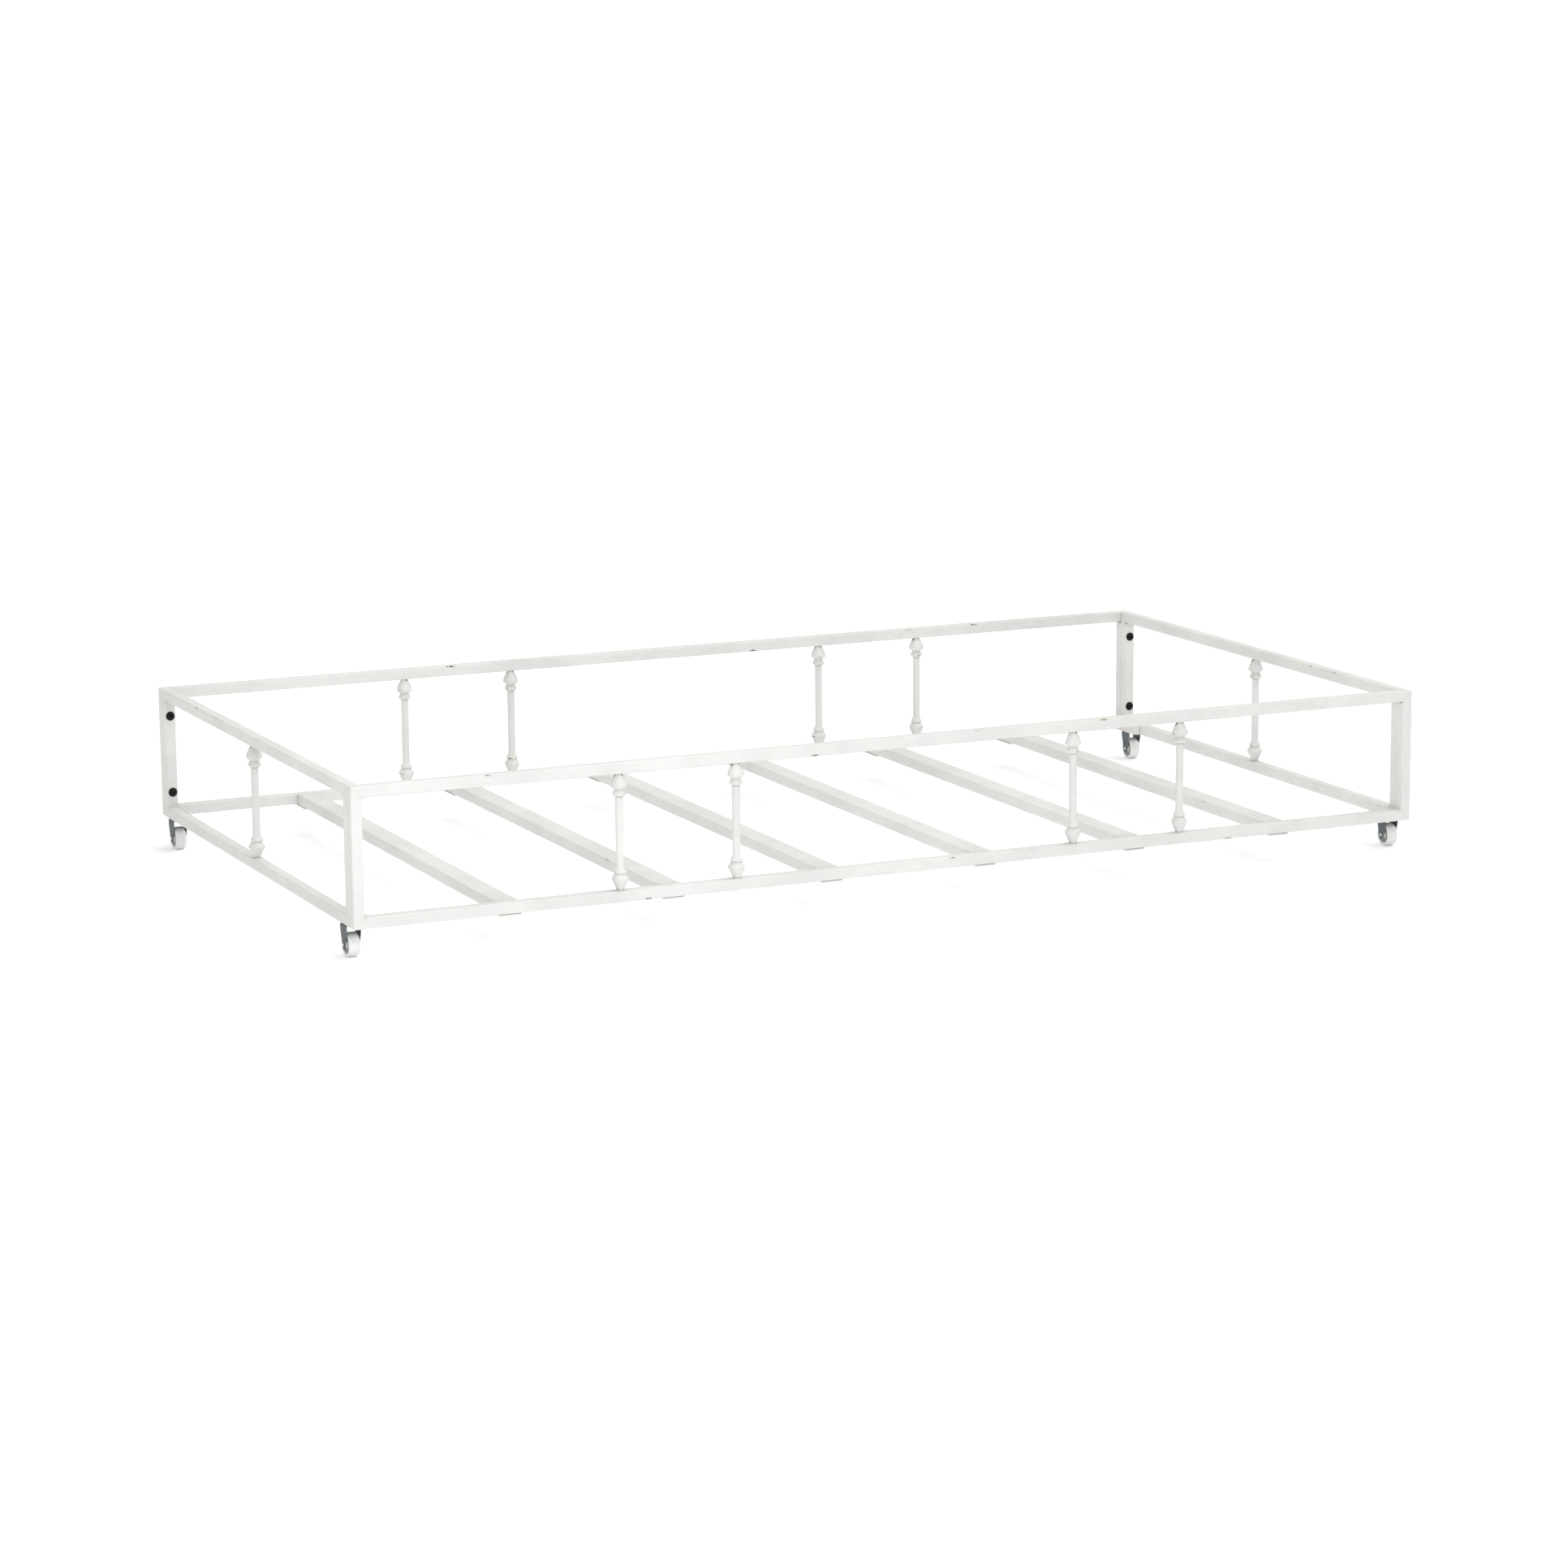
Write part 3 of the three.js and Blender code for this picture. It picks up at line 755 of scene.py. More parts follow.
def bar(outline, low, high, edge_round, spacing, place, number=0.0, spots=(), hollow_ends=0.0):
    """An outline carried along a straight line from low to high, with rounded, closed ends.

    Near an end the outline moves in by edge_round * (1 - sin t) while it moves on by edge_round *
    (1 - cos t), for t from 0 to a quarter turn, and then shrinks to a point in the middle. place
    turns the outline's two numbers and the distance along into points.
    """
    t = np.linspace(0, math.pi / 2, 4)
    inset = edge_round * (1 - np.sin(t))
    onward = edge_round * (1 - np.cos(t))
    count = max(2, round((high - low) / spacing))
    middle = np.linspace(low + edge_round, high - edge_round, count + 1)[1:-1]
    insets = np.concatenate([inset, np.zeros(len(middle)), inset[::-1]])
    places = np.concatenate([low + onward, middle, high - onward[::-1]])
    rows = outline.centres + (outline.radius - insets[:, None, None]) * outline.normals
    centre = np.broadcast_to(rows.mean(axis=(0, 1)), (1, rows.shape[1], 2))
    rows = np.concatenate([centre, rows, centre])
    places = np.concatenate([[low], places, [high]])[:, None] + np.zeros(rows.shape[:2])
    points = place(rows[..., 0], rows[..., 1], places)
    run = np.stack(np.broadcast_arrays(places, outline.around, number), axis=-1)
    from_end = np.minimum(places - low, high - places)
    end_edge = np.exp(-((from_end / EDGE_REACH) ** 2)) * 0.8
    edge = np.maximum(outline.sharpness(), end_edge)
    # Glaze and painted shade near the ends, where a bar meets its neighbour.
    hollow = hollow_ends * np.exp(-from_end / 0.01)
    knock_and_shadow = knocks_and_shadows_on(points, spots)
    return Sheet(points, run, edge, hollow, knock_and_shadow)


def knocks_and_shadows_on(points, spots):
    """How strongly each point is marked by knocks and by painted shadow: the largest bell
    exp(-(along/length)^2 - (across/width)^2).

    A spot is its place, the axis of its edge, its half length, its half width and how bad it is.
    """
    knock_and_shadow = np.zeros(points.shape[:2])
    for place, axis, length, width, amount in spots:
        offset = points - np.asarray(place)
        along = offset[..., axis]
        across = np.delete(offset, axis, axis=-1)
        bell = np.exp(-((along / length) ** 2) - np.sum((across / width) ** 2, axis=-1))
        knock_and_shadow = np.maximum(knock_and_shadow, amount * bell)
    return knock_and_shadow


def edge_place(node, edge, side, along):
    """A point on one of a tube's four long edges, and the tube's axis.

    The outside of a frame is away from the middle of the bed. A slat has its outside at +X.
    """
    low, high = tube_span(node)
    axis = int(np.argmax(high - low))
    across = 1 - axis if axis < 2 else int(np.argmax(np.abs(low + high)[:2]))
    outward = np.sign(low[across] + high[across]) if not node.startswith("slat") else 1.0
    outer = high[across] if outward > 0 else low[across]
    inner = low[across] if outward > 0 else high[across]
    place = np.zeros(3)
    place[axis] = (low[axis] + high[axis]) / 2 + along
    place[across] = outer if side == "outside" else inner
    place[2] = high[2] - ON_FACE if edge == "upper" else low[2] + ON_FACE
    return place, axis


def tube_span(node):
    """The span of a tube, without the tabs that a side frame's bottom rail carries."""
    low, high = span(node)
    if node in ("front_bottom_rail", "rear_bottom_rail"):
        top_low, top_high = span(node.replace("bottom", "top"))
        low[:2] = top_low[:2]
        high[:2] = top_high[:2]
        low[2] = high[2] - (top_high[2] - top_low[2])
    return low, high


def spots_of(node, extra, seed):
    """The chosen knocks and rubs of a tube, with a few more at random on the edges left over."""
    spots = []
    for name, edge, side, along, amount in KNOCKS:
        if name == node:
            place, axis = edge_place(node, edge, side, along)
            spots.append((place, axis, KNOCK_LENGTH, KNOCK_WIDTH, amount))
    for name, edge, side, along, length, amount in RUBS:
        if name == node:
            place, axis = edge_place(node, edge, side, along)
            spots.append((place, axis, length, KNOCK_WIDTH, amount))
    draw = np.random.default_rng(seed)
    low, high = tube_span(node)
    half = (high - low).max() / 2
    for _ in range(extra):
        edge = draw.choice(["upper", "lower"])
        side = draw.choice(["outside", "inside"])
        along = draw.uniform(-0.95, 0.95) * half
        length = draw.uniform(0.005, 0.03)
        amount = draw.uniform(0.3, 0.58)
        place, axis = edge_place(node, edge, side, along)
        spots.append((place, axis, length, KNOCK_WIDTH, amount))
    return spots


# ---------------------------------------------------------------------------- welded frames


def frame_rows(half_length, half_height, depth, tube, corner_round, inner_round, spacing):
    """The paths that the points of a tube's section take round a welded frame.

    A section point at a depth below the outer edge follows a rectangle that is smaller by the depth
    on every side. The radius of its corners changes evenly from the outer to the inner one.
    """
    radius = corner_round + (inner_round - corner_round) * depth / tube
    turn = np.linspace(0, math.pi / 2, CORNER_STEPS + 1)[:, None]
    arcs = []
    for quarter, (side_x, side_z) in enumerate([(1, 1), (-1, 1), (-1, -1), (1, -1)]):
        angle = turn + quarter * math.pi / 2
        x = side_x * (half_length - depth - radius) + radius * np.cos(angle)
        z = side_z * (half_height - depth - radius) + radius * np.sin(angle)
        arcs.append(np.stack([x, z], axis=-1))
    rows = []
    for quarter in range(4):
        start = arcs[quarter][-1]
        end = arcs[(quarter + 1) % 4][0]
        length = half_length if quarter % 2 == 0 else half_height
        share = np.linspace(0, 1, round(2 * length / spacing) + 1)[1:-1, None, None]
        rows += [arcs[quarter], start + (end - start) * share]
    return np.concatenate(rows)


def frame_hollow(rows, half, depth, tube, on_inside):
    """How much glaze and painted shade darken each point of a frame, at a distance along and up from the
    frame's middle.

    Glaze and painted shade gather in the inner corners as exp(-distance / 2.5 mm), and faintly along the
    mitres. A painted shadow lies on the inside of each post just under the top rail, fading towards the
    post's outer edge as (depth / tube)^2.
    """
    along, up = np.moveaxis(rows, -1, 0)
    to_end = half[0] - np.abs(along)
    to_top = half[1] - np.abs(up)
    mitre = np.exp(-(((to_end - to_top) / 0.003) ** 2)) * (depth > 0.0005)
    to_inner = np.hypot(to_end - tube, to_top - tube)
    hollow = 0.55 * np.exp(-to_inner / 0.0025) + 0.1 * mitre
    below_rail = half[1] - tube - up
    # Painted shadow of the top rail on the inside of each post.
    painted_shadow = 1.5 * (depth / tube) ** 2 * np.exp(-(((below_rail - 0.001) / 0.0024) ** 2))
    on_post = np.abs(along) > half[0] - tube - 0.0002
    return np.maximum(hollow, painted_shadow * on_post * on_inside)


def welded_frame(name, number):
    """A frame of square tube: the tube's rounded section carried once round a rectangle."""
    sizes = bpy.context.scene.trundle_tube
    members = [f"{name}_top_rail", f"{name}_bottom_rail"]
    members += [f"{name}_{post}_post" for post in POSTS[name]]
    low, high = tube_span(f"{name}_top_rail")
    low[2] = tube_span(f"{name}_bottom_rail")[0][2]
    middle = (low + high) / 2
    half = (high - low) / 2
    long_axis = 0 if half[0] > half[1] else 1
    across_axis = 1 - long_axis
    tube = 2 * half[across_axis]

    section = Outline(rectangle(tube, tube), sizes.edge_round)
    depth, across = section.points(0.0).T
    depth = depth + tube / 2
    rows = frame_rows(
        half[long_axis], half[2], depth, tube,
        sizes.corner_round, sizes.inner_round, sizes.ring_spacing,
    )
    points = np.zeros((*rows.shape[:2], 3))
    points[..., long_axis] = middle[long_axis] + rows[..., 0]
    points[..., across_axis] = middle[across_axis] + across
    points[..., 2] = middle[2] + rows[..., 1]

    central = rows.mean(axis=1)
    steps = np.linalg.norm(np.diff(central, axis=0), axis=1)
    along = np.concatenate([[0], np.cumsum(steps)])[:, None]
    run = np.stack(np.broadcast_arrays(along, section.around, number), axis=-1)
    outward = np.sign(middle[across_axis])
    on_inside = across * outward < 0.0005 - tube / 2
    hollow = frame_hollow(rows, half[[long_axis, 2]], depth, tube, on_inside)
    spots = []
    for i, member in enumerate(members[:2]):
        spots += spots_of(member, 3, 40 * number + i)
    for i, member in enumerate(members[2:]):
        spots += post_spots(member, 100 + 10 * number + i)
    # Painted shadow: a dark mark on the inside of each post, just under the top rail.
    for side in (-1, 1):
        corner = middle.copy()
        corner[long_axis] += side * (half[long_axis] - tube - 0.0015)
        corner[across_axis] -= outward * tube / 2
        corner[2] = high[2] - tube - 0.001
        spots.append((corner, long_axis, 0.004, 0.002, 1.7))
    sheet = Sheet(points, run, section.sharpness(), hollow, knocks_and_shadows_on(points, spots), loop=True)
    return paint_piece(f"{name}_frame", [sheet], members)


def post_spots(node, seed):
    """Two small knocks at random on the upright edges of a post."""
    low, high = span(node)
    draw = np.random.default_rng(seed)
    spots = []
    for _ in range(2):
        corner = draw.integers(0, 2, 2)
        place = np.array([
            (low[0], high[0])[corner[0]], (low[1], high[1])[corner[1]], draw.uniform(low[2], high[2]),
        ])
        spots.append((place, 2, draw.uniform(0.005, 0.02), KNOCK_WIDTH, draw.uniform(0.3, 0.6)))
    return spots


class TRUNDLEBED_OT_frames(bpy.types.Operator):
    """Make the two side frames and the two end frames"""

    bl_idname = "trundlebed.frames"
    bl_label = "Welded frames"

    def execute(self, context):
        for number, name in enumerate(POSTS):
            welded_frame(name, number + 1)
        return {"FINISHED"}


# ---------------------------------------------------------------------------- welds


def weld_bead(start, end, radius, ripples, number, shadow_ends=0.0):
    """A bead of weld from start to end: a circle carried along a line.

    Its radius is radius * (1 - |2s-1|^6)^(1/3) * (1 + 0.07 cos(2 pi ripples s)), for s from 0 to 1.
    """
    s = np.linspace(0, 1, 8 * ripples + 1)
    swell = (1 - np.abs(2 * s - 1) ** 6).clip(0) ** (1 / 3) * (1 + 0.07 * np.cos(2 * math.pi * ripples * s))
    angle = np.linspace(0, 2 * math.pi, 12, endpoint=False)
    start = np.asarray(start)
    line = np.asarray(end) - start
    axis = int(np.argmax(np.abs(line)))
    first, second = np.delete(np.eye(3), axis, axis=0)
    ring = np.cos(angle)[:, None] * first + np.sin(angle)[:, None] * second
    points = start + s[:, None, None] * line + radius * swell[:, None, None] * ring
    along = s[:, None] * np.linalg.norm(line)
    run = np.stack(np.broadcast_arrays(along, radius * angle, number), axis=-1)
    hollow = 0.3 + 0.2 * np.cos(2 * math.pi * ripples * s)
    # Painted shadow: the ends of the bead turn dark, as strong as a chip.
    end_shadow = shadow_ends * np.abs(2 * s - 1) ** 3
    return Sheet(points, run, 0.1, hollow[:, None], end_shadow[:, None])


def weld_ring(centre, ring_radius, radius, number):
    """A bead of weld round a spindle: a circle carried round a circle.

    point = centre + (ring radius + r cos b) * (cos a, sin a) + r sin b upward, with r rippling as
    radius * (1 + 0.08 cos 14a).
    """
    a = np.linspace(0, 2 * math.pi, 56, endpoint=False)[:, None]
    b = np.linspace(0, 2 * math.pi, 10, endpoint=False)[None, :]
    r = radius * (1 + 0.08 * np.cos(14 * a))
    out = ring_radius + r * np.cos(b)
    points = np.stack([out * np.cos(a), out * np.sin(a), r * np.sin(b)], axis=-1) + np.asarray(centre)
    run = np.stack(np.broadcast_arrays(ring_radius * a, radius * b, number), axis=-1)
    return Sheet(points, run, 0.1, 0.55, loop=True)


def frame_welds(name, number):
    """The beads of one frame: in its inner corners, and round both ends of each spindle."""
    sizes = bpy.context.scene.trundle_tube
    radius = sizes.weld_radius
    top_low, top_high = tube_span(f"{name}_top_rail")
    bottom_low, bottom_high = tube_span(f"{name}_bottom_rail")
    long_axis = 0 if (top_high - top_low)[0] > (top_high - top_low)[1] else 1
    across_axis = 1 - long_axis
    tube = top_high[2] - top_low[2]
    middle = (top_high[2] + bottom_low[2]) / 2
    sheets = []
    for side in (0, 1):
        along = (top_low[long_axis] + tube, top_high[long_axis] - tube)[side]
        for height in (bottom_high[2], top_low[2]):
            start = np.zeros(3)
            start[long_axis] = along
            start[2] = height
            end = start.copy()
            start[across_axis] = top_low[across_axis] + 1.2 * sizes.edge_round
            end[across_axis] = top_high[across_axis] - 1.2 * sizes.edge_round
            # The beads under the top rail get dark ends, painted shadow in the upper inner corners.
            sheets.append(weld_bead(start, end, radius, 7, number, shadow_ends=2.0 * (height > middle)))
    for i in range(SPINDLES[name]):
        low, high = span(f"{name}_spindle_{i + 1}")
        centre = (low + high) / 2
        foot = (centre[0], centre[1], bottom_high[2])
        top = (centre[0], centre[1], top_low[2])
        sheets.append(weld_ring(foot, *FOOT_RING, number + 0.1 * i))
        sheets.append(weld_ring(top, *TOP_RING, number + 0.1 * i))
    return paint_piece(f"{name}_welds", sheets)


class TRUNDLEBED_OT_welds(bpy.types.Operator):
    """Make the weld beads in the corners of the frames and round the spindles"""

    bl_idname = "trundlebed.welds"
    bl_label = "Weld beads"

    def execute(self, context):
        for number, name in enumerate(POSTS):
            frame_welds(name, number + 11)
        return {"FINISHED"}


# ---------------------------------------------------------------------------- spindles


def spindle_profile(length):
    """Radius and height of a spindle from its foot to its top.

    Each end runs from the rail: a cone to a rim, a neck, and a bead that meets the shaft. The top
    cone swells by 1.1 mm * 4t(1-t), and the foot's bead flares into the shaft as (1-t)^1.9.
    """
    sizes = bpy.context.scene.trundle_spindle
    rim = sizes.rim / 2
    shaft = sizes.shaft / 2
    t = np.linspace(0, 1, 6)
    flare = np.linspace(0, 1, 7)[1:]
    foot_rim = sizes.foot_rim_at
    top_rim = sizes.top_rim_at
    foot = [(0.0, 0.0), (0.0056, 0.0), (0.006, 0.001)]
    foot += [(rim - 0.0006, foot_rim - 0.0012), (rim, foot_rim - 0.0002), (rim - 0.0001, foot_rim + 0.0008)]
    foot += [(0.0131, foot_rim + 0.0026), (0.0112, foot_rim + 0.0056), (0.0094, foot_rim + 0.0078)]
    foot += [(0.0088, foot_rim + 0.0088), (0.0092, foot_rim + 0.0098), (0.0105, foot_rim + 0.0106)]
    foot += [(0.0106, foot_rim + 0.0122), (0.0101, foot_rim + 0.0134)]
    bell = shaft + (0.0101 - shaft) * (1 - flare) ** 1.9
    foot += list(zip(bell, foot_rim + 0.0134 + 0.0084 * flare))
    top = [(0.0, 0.0), (0.005, 0.0)]
    cone = 0.005 + (rim - 0.005) * t + 0.0011 * 4 * t * (1 - t)
    top += list(zip(cone[1:-1], 0.0004 + (top_rim - 0.0014) * t[1:-1]))
    top += [(rim - 0.0001, top_rim - 0.0009), (rim, top_rim + 0.0002), (rim - 0.0007, top_rim + 0.001)]
    top += [(0.0117, top_rim + 0.0022), (0.0089, top_rim + 0.0042), (0.0079, top_rim + 0.0062)]
    top += [(0.0083, top_rim + 0.0076), (0.0103, top_rim + 0.0104), (0.0112, top_rim + 0.0124)]
    top += [(0.0111, top_rim + 0.0138), (0.0099, top_rim + 0.0154), (0.0084, top_rim + 0.0166)]
    top += [(shaft + 0.0006, top_rim + 0.0172), (shaft, top_rim + 0.0186)]
    top = [(radius, length - distance) for radius, distance in reversed(top)]
    return evened(softened(foot + top, 0.0007), 0.003)


def spindle(node, number):
    """A turned spindle between two rails, with glaze and painted shade in its grooves and at its ends,
    knocks on its rims, and dark marks painted as shadow under its top rail.
    """
    low, high = span(node)
    centre = (low + high) / 2
    profile = spindle_profile(high[2] - low[2])
    sides = 56
    points, run = turned(profile, sides, (centre[0], centre[1], low[2]), 2, number)
    radius, height = profile.T
    length = high[2] - low[2]
    sizes = bpy.context.scene.trundle_spindle
    slope = np.abs(np.gradient(np.arctan2(*np.gradient(profile, axis=0).T))) / 0.6
    edge = np.where(radius > 0.0095, slope.clip(0, 1), 0)[:, None]
    upper_rim = length - sizes.top_rim_at
    # Glaze and painted shade in the grooves and where the spindle meets its rails; the deepest turn nearly
    # black.
    grooves = np.array([0.0, sizes.foot_rim_at + 0.009, upper_rim - 0.0062, upper_rim - 0.0172, length])
    depth = np.array([1.0, 0.7, 0.8, 1.1, 1.0])
    hollow = (depth * np.exp(-(((height[:, None] - grooves) / 0.0009) ** 2))).max(axis=1)[:, None]
    draw = np.random.default_rng(700 + number)
    spots = []
    rims = (sizes.foot_rim_at, sizes.foot_rim_at + 0.0114, upper_rim, upper_rim - 0.013)
    for rim, start in [(rim, start) for start in (0.0, math.pi) for rim in rims]:
        reach = np.interp(rim, height, radius)
        angle = start + draw.uniform(0, math.pi)
        place = (centre[0] + reach * math.cos(angle), centre[1] + reach * math.sin(angle), low[2] + rim)
        spots.append((place, 2, 0.0017, draw.uniform(0.0022, 0.0045), draw.uniform(0.45, 1.05)))
    # Painted shadow: two dark marks on the top cone just under the rail, on the same side of every spindle.
    turn = draw.uniform(-0.3, 0.3)
    for angle, size, amount in ((2.9, 0.006, 2.4), (5.6, 0.0032, 1.9)):
        reach = np.interp(length - size / 2, height, radius)
        x = centre[0] + reach * math.cos(angle + turn)
        y = centre[1] + reach * math.sin(angle + turn)
        spots.append(((x, y, high[2] - size / 4), 2, size, 0.0026, amount))
    sheet = Sheet(points, run, edge, hollow, knocks_and_shadows_on(points, spots))
    return paint_piece(f"{node}_turned", [sheet], [node])


class TRUNDLEBED_OT_spindles(bpy.types.Operator):
    """Make the ten turned spindles"""

    bl_idname = "trundlebed.spindles"
    bl_label = "Spindles"

    def execute(self, context):
        number = 0
        for name, count in SPINDLES.items():
            for i in range(count):
                spindle(f"{name}_spindle_{i + 1}", number)
                number += 1
        return {"FINISHED"}


# ---------------------------------------------------------------------------- slats and tabs


def along_y(x, z, y):
    """Points of a bar that runs along Y."""
    return np.stack(np.broadcast_arrays(x, y, z), axis=-1)


def along_z(x, y, z):
    """Points of a plate that lies flat."""
    return np.stack(np.broadcast_arrays(x, y, z), axis=-1)


class TRUNDLEBED_OT_slats(bpy.types.Operator):
    """Make the six slats of flat tube"""

    bl_idname = "trundlebed.slats"
    bl_label = "Slats"

    def execute(self, context):
        sizes = context.scene.trundle_tube
        for number, node in enumerate(SLATS):
            low, high = span(node)
            middle = (low + high) / 2
            corners = np.array(rectangle(high[0] - low[0], high[2] - low[2])) + middle[[0, 2]]
            outline = Outline(corners, sizes.edge_round)
            sheet = bar(
                outline, low[1], high[1], 0.0006, sizes.ring_spacing, along_y, 20 + number,
                spots_of(node, 3, 900 + number), hollow_ends=0.5,
            )
            paint_piece(f"{node}_tube", [sheet], [node])
        return {"FINISHED"}


def tab_places(side):
    """Lowest and highest corner of each tab under a side frame, in metres, from the slats' places."""
    rail_low, rail_high = span(f"{side}_bottom_rail")
    top = tube_span(f"{side}_bottom_rail")[0][2]
    places = []
    for node in SLATS:
        low, high = span(node)
        inset = (high[0] - low[0] - TAB_WIDTH) / 2
        places.append((
            np.array([low[0] + inset, rail_low[1], rail_low[2]]),
            np.array([high[0] - inset, rail_high[1], top]),
        ))
    return places


def slat_tab(low, high, number):
    """A tab, and a dark strip in the thin gap above it, painted as shade."""
    width, depth = (high - low)[:2]
    base = high[2] - TAB_GAP
    middle = (low + high)[:2] / 2
    outline = Outline(np.array(rectangle(width, depth)) + middle, 0.0015)
    plate = bar(outline, low[2], base, 0.0005, 0.002, along_z, number)
    inner = Outline(np.array(rectangle(width - 0.0016, depth - 0.0016)) + middle, 0.001)
    shade_strip = bar(inner, base - 0.0002, high[2] + 0.0002, 0.0001, 0.002, along_z, number)
    # Painted shade: the strip in the gap is as dark as the deepest hollows.
    shade_strip.values["hollow"] = np.full(shade_strip.points.shape[:2], 1.2)
    return [plate, shade_strip]


class TRUNDLEBED_OT_tabs(bpy.types.Operator):
    """Make the tabs that carry the slats, and the beads that weld them to the side frames"""

    bl_idname = "trundlebed.tabs"
    bl_label = "Slat tabs"

    def execute(self, context):
        for number, side in enumerate(("front", "rear")):
            rail_low, rail_high = tube_span(f"{side}_bottom_rail")
            sheets = []
            for i, (low, high) in enumerate(tab_places(side)):
                sheets += slat_tab(low, high, 30 + number + 0.1 * i)
                for x in (low[0], high[0]):
                    start = (x, rail_low[1] + 0.003, rail_low[2])
                    end = (x, rail_high[1] - 0.003, rail_low[2])
                    sheets.append(weld_bead(start, end, 0.0016, 6, 31 + number))
            paint_piece(f"{side}_slat_tabs", sheets)
        return {"FINISHED"}


class TRUNDLEBED_OT_screws(bpy.types.Operator):
    """Make the screws that hold the slats to the tabs from below"""

    bl_idname = "trundlebed.screws"
    bl_label = "Slat screws"

    def execute(self, context):
        head = context.scene.trundle_fittings.screw_head / 2
        for side, sign in (("front", 1), ("rear", -1)):
            rail_low, rail_high = tube_span(f"{side}_bottom_rail")
            edge = rail_high[1] if sign > 0 else rail_low[1]
            sheets = []
            for low, high in tab_places(side):
                reach = high[1] - low[1] - (rail_high[1] - rail_low[1])
                centre = ((low[0] + high[0]) / 2, edge + sign * reach / 2, low[2])
                sheets.append(pan_head(centre, head))
            make_piece(f"{side}_slat_screws", sheets, black_steel)
        return {"FINISHED"}


def pan_head(centre, head):
    """A pan head with a cross recess, facing down.

    The recess goes in by 1.6 mm * |cos 2a|^6 * sqrt(1 - radius / its own radius).
    """
    chain = [
        (0.0, 0.0022), (0.0022, 0.0022), (0.0022, 0.0001), (head, 0.0001), (head, -0.0008),
        (head * 0.86, -0.0018), (head * 0.55, -0.0023), (head * 0.5, -0.0023), (head * 0.12, -0.0023),
        (0.0, -0.0023),
    ]
    profile = evened(softened(chain, 0.0003), 0.0006)

    def recess(radius, height, angle):
        arms = np.abs(np.cos(2 * angle)) ** 6
        inside = np.where(height < -0.002, (1 - radius / (head * 0.5)).clip(0, 1), 0)
        share = np.where(radius > 0, arms * np.sqrt(inside), inside)
        return radius, height + 0.0016 * share

    points, run = turned(profile, 48, centre, 2, 0.0, recess)
    edge = np.where(profile[:, 0] > head * 0.9, 0.8, 0.1)[:, None]
    return Sheet(points, run, edge)


# ---------------------------------------------------------------------------- corner bolts


def corner_bolt(corner, level):
    """A button head bolt with a hexagon socket.

    Outside the socket the radius does not change with the angle. Inside it, the radius is that of a
    hexagon, inner radius / cos(angle from the nearest flat), and the rim blends between the two.
    """
    fittings = bpy.context.scene.trundle_fittings
    node = f"{corner}_{level}_bolt"
    low, high = span(node)
    middle = (low + high) / 2
    head = (high[0] - low[0]) / 2
    inward = -np.sign(middle[1])
    side, end = corner.split("_")
    post_low, post_high = span(f"{end}_end_{side}_post")
    seat = post_high[1] if inward > 0 else post_low[1]
    face = high[1] if inward > 0 else low[1]
    tip = low[1] if inward > 0 else high[1]
    rise = abs(face - seat)
    reach = abs(seat - tip)
    shank = 0.004
    flat = fittings.socket / 2
    floor = rise - fittings.socket_depth
    chain = [
        (0.0, -reach), (shank - 0.0006, -reach), (shank, -reach + 0.0008), (shank, 0.0),
        (head - 0.0003, 0.0), (head, 0.0004), (head, 0.0011), (head * 0.93, 0.45 * rise),
        (head * 0.78, 0.78 * rise), (head * 0.58, rise), (flat + 0.0012, rise),
        (flat + 0.0001, rise - 0.0006), (flat, rise - 0.0008), (flat, floor), (0.0, floor - 0.0005),
    ]
    profile = evened(softened(chain, 0.0004), 0.0012)

    def socket(radius, height, angle):
        wall = polygon_radius(angle, 6, 1.0)
        above = height * inward
        depth = ((rise - above) / 0.0008).clip(0, 1) * (radius <= flat + 0.0013) * (above > 0)
        return radius * (1 + (wall - 1) * depth), height

    points, run = turned(profile * (1, inward), 72, (middle[0], seat, middle[2]), 1, 0.0, socket)
    rim = np.exp(-(((profile[:, 0] - head) / 0.001) ** 2)) * 0.7
    mouth = np.exp(-(((profile[:, 0] - flat - 0.0006) / 0.0006) ** 2)) * (profile[:, 1] > 0.8 * rise)
    sheet = Sheet(points, run, np.maximum(rim, mouth)[:, None])
    return make_piece(f"{node}_steel", [sheet], black_steel, stands_for=[node])


class TRUNDLEBED_OT_bolts(bpy.types.Operator):
    """Make the eight bolts that hold the end frames to the side frames"""

    bl_idname = "trundlebed.bolts"
    bl_label = "Corner bolts"

    def execute(self, context):
        for corner in CORNERS:
            for level in ("upper", "lower"):
                corner_bolt(corner, level)
        return {"FINISHED"}


# ---------------------------------------------------------------------------- casters


class TRUNDLEBED_OT_seats(bpy.types.Operator):
    """Make the bars that widen the end rails over the casters"""

    bl_idname = "trundlebed.seats"
    bl_label = "Caster seats"

    def execute(self, context):
        number = 50
        for end, ends in END_CORNERS.items():
            for place in ends:
                node = f"{end}_{place}_caster_seat"
                low, high = span(node)
                width = high[0] - low[0]
                x0, x1 = (low[0], high[0]) if low[0] > 0 else (high[0], low[0])
                y0, y1 = (low[1], high[1]) if low[1] > 0 else (high[1], low[1])
                bevelled = y0 + math.copysign(width, y0)
                corners = [(x1, y0), (x1, y1), (x0, y1), (x0, bevelled)]
                first, second = np.diff(corners[:3], axis=0)
                turn = first[0] * second[1] - first[1] * second[0]
                outline = Outline(corners if turn > 0 else corners[::-1], 0.0012)
                sheet = bar(outline, low[2], high[2], 0.0006, 0.003, along_z, number, hollow_ends=0.15)
                paint_piece(f"{node}_bar", [sheet], [node])
                number += 1
        return {"FINISHED"}


